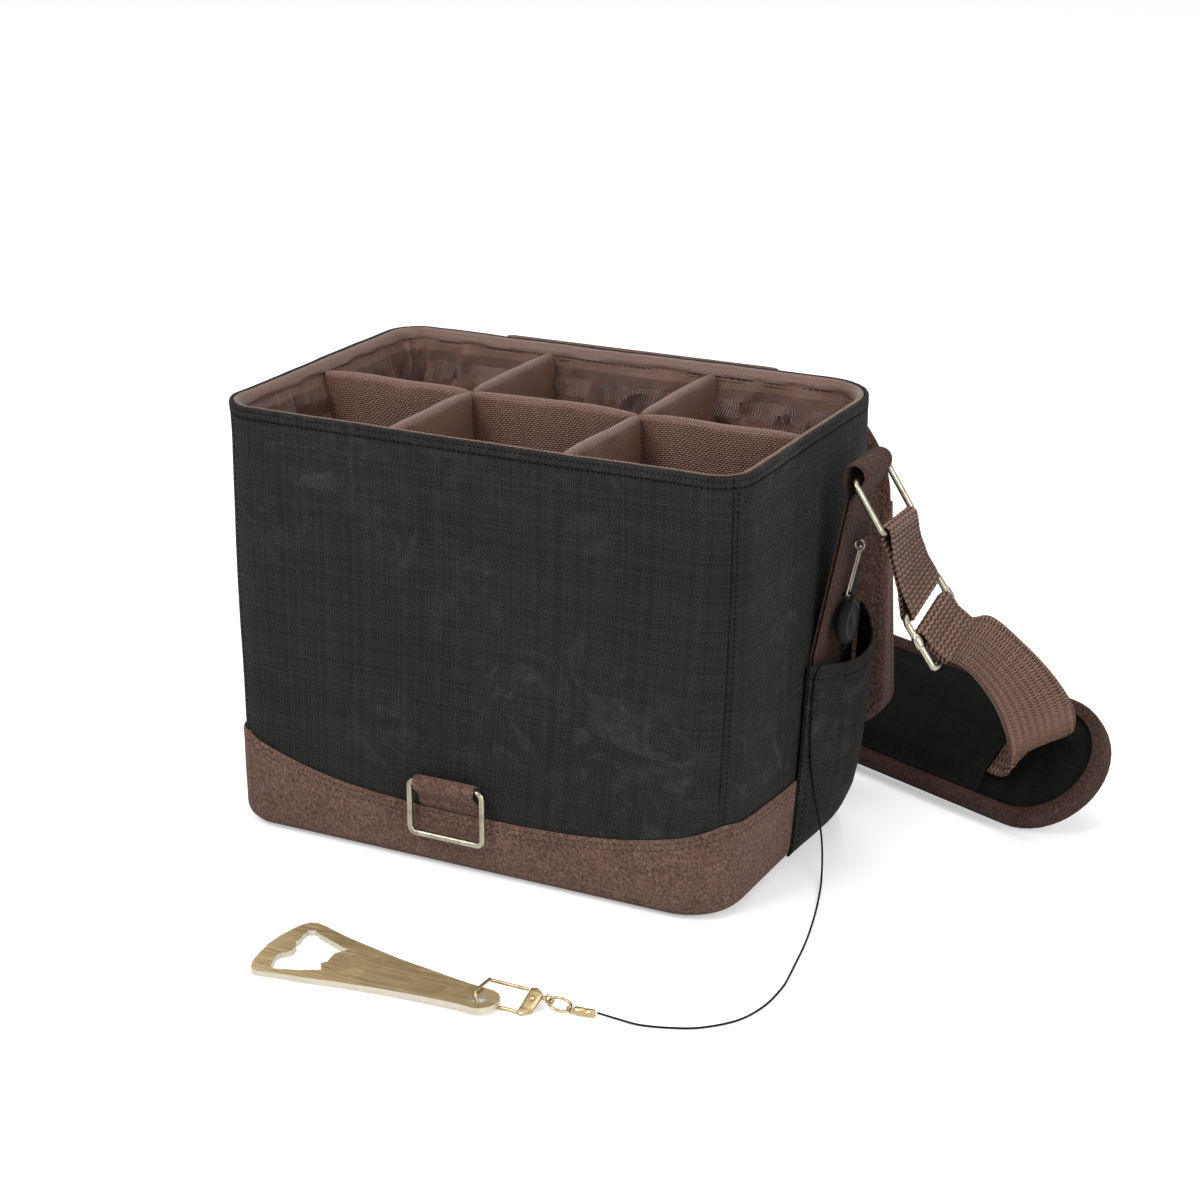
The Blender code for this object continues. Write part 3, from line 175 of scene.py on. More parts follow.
def makePatinaGroup():
    # fine brushing along one way with darker rubbed patches
    group, start, end = startGroup(
        "agedPlate",
        [
            ("Place", "NodeSocketVector", None), ("Brushing", "NodeSocketVector", (1.0, 1.0, 1.0)),
            ("Dark From", "NodeSocketFloat", 0.45),
        ],
        [("Patch", "NodeSocketFloat"), ("Streak", "NodeSocketFloat")],
    )
    stretch = addNode(group, "ShaderNodeVectorMath", operation="MULTIPLY")
    join(group, start.outputs["Place"], stretch.inputs[0])
    join(group, start.outputs["Brushing"], stretch.inputs[1])
    streak = addNode(group, "ShaderNodeTexNoise", {"Scale": 900.0, "Detail": 3.0, "Roughness": 0.6})
    join(group, stretch.outputs[0], streak.inputs["Vector"])
    patch = addNode(group, "ShaderNodeTexNoise", {"Scale": 95.0, "Detail": 5.0, "Roughness": 0.6, "Distortion": 0.7})
    join(group, start.outputs["Place"], patch.inputs["Vector"])
    spread = addNode(group, "ShaderNodeMapRange", {"From Max": 0.72})
    join(group, patch.outputs[0], spread.inputs[0])
    join(group, start.outputs["Dark From"], spread.inputs["From Min"])
    join(group, spread.outputs[0], end.inputs["Patch"])
    drawn = addNode(group, "ShaderNodeMapRange", {"From Min": 0.36, "From Max": 0.64})
    join(group, streak.outputs[0], drawn.inputs[0])
    join(group, drawn.outputs[0], end.inputs["Streak"])
    return group


def makeRibGroup():
    # ridges across a strap, each broken into interlaced rows of threads that stand a little apart
    threadRow, stagger, roundness = 0.0021, 0.28, 0.7
    group, start, end = startGroup(
        "crossRibs",
        [("Place", "NodeSocketVector", None), ("Pitch", "NodeSocketFloat", 0.002), ("Depth", "NodeSocketFloat", 0.6)],
        [("Height", "NodeSocketFloat"), ("Shade", "NodeSocketFloat")],
    )
    split = addNode(group, "ShaderNodeSeparateXYZ")
    join(group, start.outputs["Place"], split.inputs[0])
    turns = maths(group, "DIVIDE", split.outputs[0], start.outputs["Pitch"])
    row = maths(group, "FLOOR", maths(group, "DIVIDE", split.outputs[1], threadRow))
    shift = maths(group, "MULTIPLY", maths(group, "FLOORED_MODULO", row, 2.0), stagger)
    wave = maths(group, "SINE", maths(group, "MULTIPLY", maths(group, "ADD", turns, shift), 2 * math.pi))
    high = maths(group, "MULTIPLY_ADD", wave, 0.5, 0.5)
    join(group, high, end.inputs["Height"])
    low = maths(group, "SUBTRACT", 1.0, maths(group, "POWER", high, roundness))
    join(group, maths(group, "SUBTRACT", 1.0, maths(group, "MULTIPLY", low, start.outputs["Depth"])), end.inputs["Shade"])
    return group


crossRibs = makeRibGroup()
crossedThreads = makeWeaveGroup()
brushedNap = makeNapGroup()
rubMarks = makeScuffGroup()
agedPlate = makePatinaGroup()


def newMaterial(name):
    made = bpy.data.materials.new(name)
    made.use_nodes = True
    tree = made.node_tree
    return made, tree, tree.nodes["Principled BSDF"]


def placed(tree, group, values=None, place=None):
    made = addNode(tree, "ShaderNodeGroup", node_tree=group)
    for key, value in (values or {}).items():
        made.inputs[key].default_value = value
    if place is not None:
        join(tree, place, made.inputs["Place"])
    return made


def blendColour(tree, share, first, second, mode="MIX"):
    made = addNode(tree, "ShaderNodeMix", data_type="RGBA", blend_type=mode, clamp_factor=True)
    for socket, value in ((made.inputs[0], share), (made.inputs[6], first), (made.inputs[7], second)):
        if isinstance(value, (int, float)):
            socket.default_value = value
        elif isinstance(value, tuple):
            socket.default_value = (*value, 1.0)
        else:
            join(tree, value, socket)
    return made.outputs[2]


def bumpFrom(tree, height, distance, strength=1.0, under=None):
    made = addNode(tree, "ShaderNodeBump", {"Strength": strength, "Distance": distance})
    join(tree, height, made.inputs["Height"])
    if under is not None:
        join(tree, under, made.inputs["Normal"])
    return made.outputs[0]


def makeCloth(name, look):
    # woven cloth: thread tones over a shaded base, pale rub marks, and ribs where the look has them
    made, tree, shader = newMaterial(name)
    cloth = addNode(tree, "ShaderNodeUVMap", uv_map="cloth").outputs[0]
    space = addNode(tree, "ShaderNodeTexCoord").outputs["Object"]
    weave = placed(tree, crossedThreads, {"Thread": look["thread"]}, cloth)
    marks = placed(tree, rubMarks, {"Amount": look["rub"]}, space)
    base = blendColour(tree, marks.outputs["Shade"], look["dark"], look["colour"])
    flecked = blendColour(tree, maths(tree, "MULTIPLY", weave.outputs["Thread Tone"], look["fleck"]), base, look["pale"])
    rubbed = blendColour(tree, marks.outputs["Marks"], flecked, look["rubColour"])
    deep = maths(tree, "MULTIPLY_ADD", weave.outputs["Height"], look["depthShade"], 1.0 - look["depthShade"])
    shaded = blendColour(tree, 1.0, rubbed, deep, "MULTIPLY")
    rubGloss = -0.18
    rough = maths(tree, "MULTIPLY_ADD", marks.outputs["Marks"], rubGloss, look["rough"])
    join(tree, rough, shader.inputs["Roughness"])
    bumped = bumpFrom(tree, weave.outputs["Height"], look["relief"])
    if "ribPitch" in look:
        ribbed = placed(tree, crossRibs, {"Pitch": look["ribPitch"], "Depth": look["ribShade"]}, cloth)
        shaded = blendColour(tree, 1.0, shaded, ribbed.outputs["Shade"], "MULTIPLY")
        bumped = bumpFrom(tree, ribbed.outputs["Height"], look["ribHigh"], 1.0, bumped)
    join(tree, shaded, shader.inputs["Base Color"])
    join(tree, bumped, shader.inputs["Normal"])
    shader.inputs["Specular IOR Level"].default_value = look["gloss"]
    return made


napLook = {"fine": 620.0, "rub": 0.8, "speck": 0.5, "rubPale": 0.5, "relief": 0.0009, "sheenRough": 0.6, "gloss": 0.08}


def makeSuede(name, look):
    # brushed hide: mottled base, pale fibres, and grain tone that follows the nap's height, with painted shade in the
    # low parts between the fibres
    made, tree, shader = newMaterial(name)
    space = addNode(tree, "ShaderNodeTexCoord").outputs["Object"]
    nap = placed(tree, brushedNap, {"Scale": napLook["fine"]}, space)
    marks = placed(tree, rubMarks, {"Amount": napLook["rub"]}, space)
    base = blendColour(tree, nap.outputs["Mottle"], look["dark"], look["colour"])
    specked = blendColour(tree, maths(tree, "MULTIPLY", nap.outputs["Speck"], napLook["speck"]), base, look["pale"])
    rubbed = blendColour(tree, maths(tree, "MULTIPLY", marks.outputs["Marks"], napLook["rubPale"]), specked, look["pale"])
    # grain tone with painted shade: the colour is darker where the nap's height is low, between the fibres, and lighter
    # where it is high
    grain = addNode(tree, "ShaderNodeMapRange", {"From Min": 0.34, "From Max": 0.66, "To Min": 0.52, "To Max": 1.45})
    join(tree, nap.outputs["Height"], grain.inputs[0])
    join(tree, blendColour(tree, 1.0, rubbed, grain.outputs[0], "MULTIPLY"), shader.inputs["Base Color"])
    join(tree, maths(tree, "MULTIPLY_ADD", nap.outputs["Mottle"], -0.15, 1.0), shader.inputs["Roughness"])
    join(tree, bumpFrom(tree, nap.outputs["Height"], napLook["relief"]), shader.inputs["Normal"])
    shader.inputs["Sheen Weight"].default_value = look["sheen"]
    shader.inputs["Sheen Roughness"].default_value = napLook["sheenRough"]
    shader.inputs["Specular IOR Level"].default_value = napLook["gloss"]
    return made


def makeMetal(name, look):
    # plated or solid metal: darker aged patches under fine brushing
    made, tree, shader = newMaterial(name)
    space = addNode(tree, "ShaderNodeTexCoord").outputs["Object"]
    plate = placed(tree, agedPlate, {"Brushing": look["brushing"], "Dark From": look["darkFrom"]}, space)
    base = blendColour(tree, plate.outputs["Patch"], look["colour"], look["dark"])
    streaked = blendColour(tree, maths(tree, "MULTIPLY", plate.outputs["Streak"], look["streak"]), base, look["pale"])
    if "edge" in look:
        # cut edges stay bright, the flat faces are aged
        edgeFrom = 1.3
        facing = addNode(tree, "ShaderNodeSeparateXYZ")
        join(tree, addNode(tree, "ShaderNodeTexCoord").outputs["Normal"], facing.inputs[0])
        upright = maths(tree, "SUBTRACT", 1.0, maths(tree, "ABSOLUTE", facing.outputs[2]))
        streaked = blendColour(
            tree, maths(tree, "MINIMUM", maths(tree, "MULTIPLY", upright, edgeFrom), 1.0), streaked, look["edge"],
        )
    join(tree, streaked, shader.inputs["Base Color"])
    rough = maths(tree, "MULTIPLY_ADD", plate.outputs["Patch"], 0.18, look["rough"])
    join(tree, rough, shader.inputs["Roughness"])
    join(tree, bumpFrom(tree, plate.outputs["Streak"], look["relief"], 0.6), shader.inputs["Normal"])
    shader.inputs["Metallic"].default_value = look["metal"]
    return made


def makePlastic(name, look):
    # mouldings, cord skin and threads: one colour with a fine grain
    made, tree, shader = newMaterial(name)
    space = addNode(tree, "ShaderNodeTexCoord").outputs["Object"]
    grain = addNode(tree, "ShaderNodeTexNoise", {"Scale": look["grain"], "Detail": 2.0})
    join(tree, space, grain.inputs["Vector"])
    join(tree, blendColour(tree, grain.outputs[0], look["dark"], look["colour"]), shader.inputs["Base Color"])
    join(tree, maths(tree, "MULTIPLY_ADD", grain.outputs[0], 0.2, look["rough"]), shader.inputs["Roughness"])
    join(tree, bumpFrom(tree, grain.outputs[0], 0.0001, 0.5), shader.inputs["Normal"])
    shader.inputs["Specular IOR Level"].default_value = look["gloss"]
    return made


canvas = makeCloth("waxedCanvas", {
    "thread": 0.00092, "colour": (0.0288, 0.0282, 0.0266), "dark": (0.0136, 0.0133, 0.0126), "pale": (0.090, 0.087, 0.081),
    "fleck": 0.35, "rub": 1.3, "rubColour": (0.105, 0.101, 0.094), "depthShade": 0.86, "relief": 0.0008, "rough": 0.80,
    "gloss": 0.14,
})
padCloth = makeCloth("padCanvas", {
    "thread": 0.00075, "colour": (0.0135, 0.0130, 0.0125), "dark": (0.0070, 0.0068, 0.0066), "pale": (0.040, 0.038, 0.036),
    "fleck": 0.26, "rub": 0.6, "rubColour": (0.060, 0.057, 0.053), "depthShade": 0.7, "relief": 0.0004, "rough": 0.88,
    "gloss": 0.08,
})
twill = makeCloth("liningTwill", {
    "thread": 0.00105, "colour": (0.275, 0.134, 0.093), "dark": (0.170, 0.079, 0.054), "pale": (0.46, 0.28, 0.21),
    "fleck": 0.14, "rub": 0.3, "rubColour": (0.36, 0.20, 0.145), "depthShade": 0.80, "relief": 0.0006, "rough": 0.36,
    "gloss": 0.5,
})
satinLining = makeCloth("satinLining", {
    "thread": 0.00070, "colour": (0.215, 0.099, 0.066), "dark": (0.105, 0.046, 0.031), "pale": (0.33, 0.180, 0.130),
    "fleck": 0.14, "rub": 0.2, "rubColour": (0.30, 0.165, 0.120), "depthShade": 0.55, "relief": 0.00025, "rough": 0.27,
    "gloss": 0.6,
})
webCloth = makeCloth("ribbedWebbing", {
    "thread": 0.00070, "colour": (0.44, 0.225, 0.155), "dark": (0.30, 0.146, 0.098), "pale": (0.70, 0.45, 0.34),
    "fleck": 0.3, "rub": 0.15, "rubColour": (0.50, 0.30, 0.225), "depthShade": 0.55, "relief": 0.0004, "rough": 0.48,
    "gloss": 0.35, "ribPitch": 0.0024, "ribShade": 0.95, "ribHigh": 0.0012,
})
suede = makeSuede(
    "brownSuede", {"colour": (0.148, 0.085, 0.065), "dark": (0.088, 0.047, 0.036), "pale": (0.29, 0.198, 0.160), "sheen": 0.04},
)
# a copy of the brown suede darkened with painted shade, for the parts that sit in shade: the side tabs and the pad's
# binding
shadedSuede = makeSuede(
    "shadedSuede", {"colour": (0.064, 0.034, 0.0255), "dark": (0.036, 0.018, 0.0136), "pale": (0.140, 0.087, 0.068), "sheen": 0.03},
)
nickel = makeMetal("antiqueNickel", {
    "colour": (0.335, 0.305, 0.235), "dark": (0.115, 0.097, 0.066), "pale": (0.52, 0.49, 0.40), "darkFrom": 0.44, "streak": 0.3,
    "brushing": (1.0, 1.0, 0.35), "rough": 0.27, "relief": 0.00005, "metal": 1.0,
})
brass = makeMetal("antiqueBrass", {
    "colour": (0.40, 0.295, 0.150), "dark": (0.16, 0.105, 0.048), "pale": (0.62, 0.50, 0.31), "darkFrom": 0.48, "streak": 0.5,
    "brushing": (0.03, 1.0, 1.0), "rough": 0.32, "relief": 0.00004, "metal": 1.0,
})
brushedBrass = makeMetal("brushedBrass", {
    "colour": (0.520, 0.364, 0.169), "dark": (0.250, 0.161, 0.067), "pale": (0.76, 0.60, 0.35), "darkFrom": 0.47, "streak": 0.8,
    "brushing": (0.02, 1.0, 1.0), "rough": 0.42, "relief": 0.00012, "metal": 0.85, "edge": (0.52, 0.485, 0.40),
})
# black plastic of the reel, darkened past its own black with painted shade for the shade in the pocket's mouth
shadedBlackPlastic = makePlastic("shadedBlackMoulding", {
    "colour": (0.0070, 0.0070, 0.0072), "dark": (0.0035, 0.0035, 0.0036), "grain": 1500.0, "rough": 0.55, "gloss": 0.16,
})
cordSkin = makePlastic(
    "blackCord",
    {"colour": (0.0060, 0.0060, 0.0062), "dark": (0.003, 0.003, 0.003), "grain": 3200.0, "rough": 0.6, "gloss": 0.12},
)
darkThread = makePlastic(
    "darkThread",
    {"colour": (0.0065, 0.0060, 0.0056), "dark": (0.003, 0.003, 0.003), "grain": 2600.0, "rough": 0.8, "gloss": 0.08},
)
brownThread = makePlastic(
    "brownThread", {"colour": (0.050, 0.023, 0.016), "dark": (0.026, 0.012, 0.008), "grain": 2600.0, "rough": 0.7, "gloss": 0.2},
)
print("stage: materials ready")

# mesh helpers


def finishMesh(name, corners, faces, material, uvs=None, sharp=38, body="root", slotName=None, replaced=()):
    mesh = bpy.data.meshes.new(name)
    mesh.from_pydata([tuple(corner) for corner in corners], [], faces)
    if uvs is not None:
        layer = mesh.uv_layers.new(name="cloth")
        layer.data.foreach_set("uv", [value for pair in uvs for value in pair])
    work = bmesh.new()
    work.from_mesh(mesh)
    bmesh.ops.recalc_face_normals(work, faces=work.faces)
    work.to_mesh(mesh)
    work.free()
    mesh.shade_smooth()
    mesh.set_sharp_from_angle(angle=math.radians(sharp))
    mesh.materials.append(material)
    made = bpy.data.objects.new(name, mesh)
    bpy.context.scene.collection.objects.link(made)
    if replaced:
        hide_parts(*replaced)
    if body:
        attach(made, body)
    return made


def running(points, closed=False):
    # distance run at each point of a line
    total = [0.0]
    for a, b in zip(points, points[1:]):
        total.append(total[-1] + (Vector(b) - Vector(a)).length)
    if closed:
        total.append(total[-1] + (Vector(points[0]) - Vector(points[-1])).length)
    return total


def sweep(name, sections, material, closed=False, along=None, **more):
    # bridges equal closed sections; its map is metres along and around
    count, rows = len(sections[0]), len(sections)
    corners = [point for section in sections for point in section]
    around = [running(section, True) for section in sections]
    if along is None:
        middle = [section[0] for section in sections]
        half = [section[count // 3] for section in sections]
        along = [(a + b) / 2 for a, b in zip(running(middle, True), running(half, True))]
    faces, uvs = [], []
    for r in range(rows if closed else rows - 1):
        n = (r + 1) % rows
        for i in range(count):
            j = (i + 1) % count
            faces.append((r * count + i, r * count + j, n * count + j, n * count + i))
            uvs += [
                (along[r], around[r][i]), (along[r], around[r][i + 1]), (along[r + 1], around[n][i + 1]),
                (along[r + 1], around[n][i]),
            ]
    if not closed:
        for r in (0, rows - 1):
            faces.append(tuple(r * count + i for i in range(count)))
            uvs += [(along[r], around[r][i]) for i in range(count)]
    return finishMesh(name, corners, faces, material, uvs, **more)


def smoothPath(points, count):
    # evenly spaced points on a smooth curve through the given ones
    fineSteps = 16
    spots = [Vector(point) for point in points]
    ends = [2 * spots[0] - spots[1]] + spots + [2 * spots[-1] - spots[-2]]
    fine = []
    for i in range(len(spots) - 1):
        a, b, c, d = ends[i:i + 4]
        for k in range(fineSteps):
            t = k / fineSteps
            fine.append(0.5 * (2 * b + (c - a) * t + (2 * a - 5 * b + 4 * c - d) * t ** 2 + (3 * b - a - 3 * c + d) * t ** 3))
    fine.append(spots[-1])
    return evenly(fine, count)


def evenly(points, count, closed=False):
    # the same line in evenly spaced points
    line = [Vector(point) for point in points] + ([Vector(points[0])] if closed else [])
    along = running(line)
    steps = count if closed else count - 1
    found, k = [], 0
    for i in range(count):
        goal = along[-1] * i / steps
        while k < len(along) - 2 and along[k + 1] < goal:
            k += 1
        found.append(line[k].lerp(line[k + 1], min(1, (goal - along[k]) / max(along[k + 1] - along[k], 1e-9))))
    return found


def ease(value, low, high):
    # 0 below low, 1 above high, and a smooth rise between them
    t = max(0.0, min(1.0, (value - low) / (high - low)))
    return t * t * (3 - 2 * t)


def ruffle(x, y, z, scale):
    # even noise from about -1 to 1, the same each run
    return noise.noise(Vector((x, y, z)) * scale)


wireEnd = {"reach": 0.35, "narrow": 0.72}


def wire(name, path, radius, material, normal=(0, 0, 1), closed=False, sides=14, **more):
    # round wire along a path; its radius is one value or a function of the share run, and open ends are eased
    thickness = radius if callable(radius) else lambda share: radius
    points = [Vector(point) for point in path]
    sections = []
    for i, point in enumerate(points):
        before = points[i - 1] if closed or i else point
        after = points[(i + 1) % len(points)] if closed or i + 1 < len(points) else point
        along = (after - before).normalized()
        up = (Vector(normal) - along * along.dot(Vector(normal))).normalized()
        side = along.cross(up)
        fat = thickness(i / (len(points) - 1))
        sections.append([
            point + (
                up * math.cos(2 * math.pi * k / sides) + side * math.sin(2 * math.pi * k / sides)
            ) * fat for k in range(sides)
        ])
    if not closed:
        for end, beside, share in ((0, 1, 0), (-1, -2, 1)):
            tip = points[end] + (points[end] - points[beside]).normalized() * thickness(share) * wireEnd["reach"]
            cap = [tip + (corner - points[end]) * wireEnd["narrow"] for corner in sections[end]]
            sections.insert(0 if end == 0 else len(sections), cap)
    return sweep(name, sections, material, closed, **more)


def strap(name, edges, thickness, material, closed=False, steps=16, lift=None, edgeRound=0.09, **more):
    # flat strap between two edge lines, rounded at its edges; lift(run, across, side) raises its faces
    edgeShare = 0.12
    count = len(edges)
    run = running([(a + b) / 2 for a, b in edges], closed)
    sections = []
    for i, (a, b) in enumerate(edges):
        back = edges[i - 1] if closed or i else edges[i]
        on = edges[(i + 1) % count] if closed or i + 1 < count else edges[i]
        along = (on[0] + on[1] - back[0] - back[1]).normalized()
        up = along.cross(b - a).normalized()
        loop = []
        for side in (1, -1):
            shares = [k / steps for k in range(steps + 1)]
            for share in shares if side > 0 else reversed(shares):
                out = abs(2 * share - 1)
                fall = 1.0 if out < 1 - edgeRound else math.sqrt(max(0.0, 1 - ((out - 1 + edgeRound) / edgeRound) ** 2))
                rise = thickness / 2 * (edgeShare + (1 - edgeShare) * fall) + (lift(run[i], share, side) * fall if lift else 0)
                loop.append(a.lerp(b, share) + up * rise * side)
        sections.append(loop)
    return sweep(name, sections, material, closed, along=run, **more)


stitchShape = {"shares": (0, 0.2, 0.5, 0.8, 1), "fat": (0.35, 0.9, 1, 0.9, 0.35), "high": (-0.7, 0.05, 0.25, 0.05, -0.7)}


def stitchRows(name, rows, material, body, pitch=0.0034, length=0.0023, radius=0.00028, sides=6):
    # thread laid in short stitches along lines of (point, outward) pairs, each stitch dipping in at both ends
    rings = len(stitchShape["shares"])
    corners, faces = [], []
    for row in rows:
        points = [Vector(point) for point, outward in row]
        ways = [Vector(outward).normalized() for point, outward in row]
        run = running(points)

        def at(distance):
            k = 0
            while k < len(run) - 2 and run[k + 1] < distance:
                k += 1
            t = (distance - run[k]) / max(run[k + 1] - run[k], 1e-9)
            return points[k].lerp(points[k + 1], t), ways[k].lerp(ways[k + 1], t).normalized()

        for n in range(int(run[-1] / pitch)):
            stops = [at(n * pitch + length * t) for t in stitchShape["shares"]]
            along = (stops[-1][0] - stops[0][0]).normalized()
            first = len(corners)
            for (spot, out), fat, high in zip(stops, stitchShape["fat"], stitchShape["high"]):
                side = along.cross(out).normalized()
                for k in range(sides):
                    angle = 2 * math.pi * k / sides
                    corners.append(spot + out * radius * (high + fat * math.cos(angle)) + side * radius * fat * math.sin(angle))
            for r in range(rings - 1):
                for k in range(sides):
                    j = (k + 1) % sides
                    faces.append(
                        (first + r * sides + k, first + r * sides + j, first + (r + 1) * sides + j, first + (r + 1) * sides + k)
                    )
            faces.append(tuple(first + k for k in range(sides)))
            faces.append(tuple(first + (rings - 1) * sides + k for k in range(sides)))
    return finishMesh(name, corners, faces, material, sharp=60, body=body)


# the bag's walls: the same shape as the solids, in finer steps
bag = {
    "rim": 0.2263, "rimLong": 0.141, "rimDeep": 0.092, "baseLong": 0.131, "leftLong": 0.1425, "baseDeep": 0.085, "edge": 0.010,
    "cornerRims": (0.016, 0.036, 0.018, 0.024), "cornerBases": (0.028, 0.028, 0.024, 0.020),
}
skin = 0.0003  # clearance between two sewn layers
cornerSeams = ((0, 0.5), (3, 0.5), (1, 0.5), (2, 0.5))


def grown(low, high, height):
    return low + (high - low) * (1 - (1 - min(height / bag["rim"], 1)) ** 2)


def edgeInset(height):
    if height >= bag["edge"]:
        return 0.0
    return bag["edge"] - math.sqrt(max(0.0, bag["edge"] ** 2 - (bag["edge"] - height) ** 2))


def halfLong(height):
    return grown(bag["baseLong"], bag["rimLong"], height) - edgeInset(height)


def leftLong(height):
    return grown(bag["leftLong"], bag["rimLong"], height) - edgeInset(height)


def halfDeep(height):
    return grown(bag["baseDeep"], bag["rimDeep"], height) - edgeInset(height)


def cornerRadius(corner, height, inset):
    return grown(bag["cornerBases"][corner], bag["cornerRims"][corner], height) - edgeInset(height) - inset


def wallPoint(station, height, inset):
    # a station is a corner and a share: up to 1 round the corner, up to 2 along the side after it
    corner, share = station[0] % 4, station[1]
    if share > 1:
        start = Vector(wallPoint((corner, 1), height, inset))
        end = Vector(wallPoint((corner + 1, 0), height, inset))
        return start.lerp(end, share - 1)
    radius = cornerRadius(corner, height, inset)
    angle = math.radians(-90 + 90 * (corner + share))
    signX = 1 if corner in (0, 1) else -1
    signY = 1 if corner in (1, 2) else -1
    reach = halfLong(height) if signX > 0 else leftLong(height)
    x = signX * (reach - inset - radius) + radius * math.cos(angle)
    y = signY * (halfDeep(height) - inset - radius) + radius * math.sin(angle)
    return Vector((x, y, height))


def outward(station, height):
    return (wallPoint(station, height, -0.001) - wallPoint(station, height, 0.001)).normalized()


def sideReach(y, height, outset):
    # how far the right wall stands out at a depth y, round its back corner too
    radius = cornerRadius(1, height, -outset)
    straight = halfDeep(height) + outset - radius
    past = max(0.0, y - straight)
    return halfLong(height) + outset - radius + math.sqrt(max(radius ** 2 - past ** 2, 0.0))


def roundTheBag(cornerSteps, longSteps, shortSteps, seams=()):
    found = []
    for corner in range(4):
        found += [(corner, step / cornerSteps) for step in range(cornerSteps + 1)]
        steps = longSteps if corner % 2 else shortSteps
        found += [(corner, 1 + step / steps) for step in range(1, steps)]
    for corner, share, reach in seams:
        found += [(corner, share + reach * k / 2) for k in range(-2, 3)]
    return sorted(set(found))


clothWave = {
    "sway": 0.0011, "from": (0.055, 0.11), "calm": (0.205, 0.226), "calmShare": 0.6, "broadScale": 13, "creaseScale": 31,
    "crease": 0.9,
}


def wallSway(point, out):
    # soft shallow waves of the stiff cloth, none near the foot band and fewer at the rim
    x, y, z = point
    amount = ease(z, *clothWave["from"]) * (1 - clothWave["calmShare"] * ease(z, *clothWave["calm"]))
    broad = ruffle(x + 3.1, y * 1.3, z * 0.8, clothWave["broadScale"])
    crease = abs(ruffle(x * 0.8 + z * 0.7, y + 5.3, z * 0.5 - x * 0.3, clothWave["creaseScale"]))
    return out * clothWave["sway"] * amount * (broad - clothWave["crease"] * crease * crease)


rimWave = {"drop": 0.0011, "scale": 21, "small": 0.35, "smallScale": 60, "reach": 0.02}


def rimDrop(x, y):
    # the rim sags a little between its corners
    small = rimWave["small"] * abs(ruffle(x, y, 4.2, rimWave["smallScale"]))
    return -rimWave["drop"] * (0.5 + 0.5 * ruffle(x, y, 0.7, rimWave["scale"]) + small)


# outer canvas with a pressed seam just round each corner, and a hem at the rim
shell = {
    "thick": 0.0012, "low": 0.0043, "levels": 44, "footLevels": (0.007, 0.0095), "seamDeep": 0.0011, "seamReach": 0.0013,
    "seamSharp": 5, "seamFrom": (0.05, 0.07), "innerGap": 0.0006, "innerLevels": (0.15, 0.08, 0.03),
}
hem = {
    "stitch": 0.0060, "rise": 0.00025, "riseIn": 0.0012, "groove": 0.0006, "grooveHalf": 0.0007,
    "levels": (-0.0022, -0.0012, -0.0006, 0, 0.0006, 0.0012),
    "roll": ((0.0, -0.0009), (0.0004, -0.0001), (0.0012, 0.0), (0.0019, -0.0004), (0.0028, -0.0034)),
}
cornerArcs = [(low + high) / 2 * math.pi / 2 for low, high in zip(bag["cornerBases"], bag["cornerRims"])]
seamMarks = [(corner, share, shell["seamReach"] / cornerArcs[corner]) for corner, share in cornerSeams]
wallStations = roundTheBag(14, 46, 30, seamMarks)


def seamDip(station, marks, sharpness):
    # 1 in the middle of a seam, falling to 0 at each side of it
    offs = [(station[1] - share) / reach for corner, share, reach in marks if station[0] % 4 == corner]
    return max([math.exp(-off * off * sharpness) for off in offs], default=0.0)


hemLine = bag["rim"] - hem["stitch"]
wallHeights = [shell["low"] + (bag["rim"] - shell["low"]) * (k / shell["levels"]) for k in range(shell["levels"] + 1)]
wallHeights = sorted({*wallHeights, *shell["footLevels"], *(hemLine + step for step in hem["levels"])})


def hemRise(height):
    # the folded hem stands a little proud, with a pressed groove at its stitches
    off = height - hemLine
    return hem["rise"] * ease(off, -hem["riseIn"], 0.0) - hem["groove"] * math.exp(-(off / hem["grooveHalf"]) ** 2)


def outerWall(station, height, lift=0.0):
    out = outward(station, height)
    spot = wallPoint(station, height, 0)
    dip = shell["seamDeep"] * seamDip(station, seamMarks, shell["seamSharp"]) * ease(height, *shell["seamFrom"])
    spot = spot + wallSway(spot, out) + out * (lift + hemRise(height) - dip)
    sagFrom = bag["rim"] - rimWave["reach"]
    if height > sagFrom:
        spot.z += rimDrop(spot.x, spot.y) * ease(height, sagFrom, bag["rim"])
    return spot


canvasSections = []
for station in wallStations:
    outer = [outerWall(station, height) for height in wallHeights]
    top, out = outer.pop(), outward(station, bag["rim"])
    rolled = [top - out * inward + Vector((0, 0, rise)) for inward, rise in hem["roll"]]
    innerLevels = (*shell["innerLevels"], shell["low"])
    inner = [wallPoint(station, height, shell["thick"] + shell["innerGap"]) for height in innerLevels]
    canvasSections.append(outer + rolled + inner)
sweep(
    "canvasWalls", canvasSections, canvas, closed=True, slotName="canvas",
    replaced=("canvas_front", "canvas_back", "canvas_left", "canvas_right"),
)

canvasSewing = {
    "lift": 0.00025, "topRow": 0.0022, "topLift": -0.0002, "topEnds": 0.026, "seamOff": 0.0034, "seamTop": 0.008,
    "seamStep": 0.004, "seamSteps": 43, "pitch": 0.0027, "length": 0.0020, "radius": 0.00032,
}


def wallStitch(station, height, lift=0.0):
    return outerWall(station, height, lift), outward(station, height)


hemRow = [wallStitch(station, hemLine, canvasSewing["lift"]) for station in wallStations]
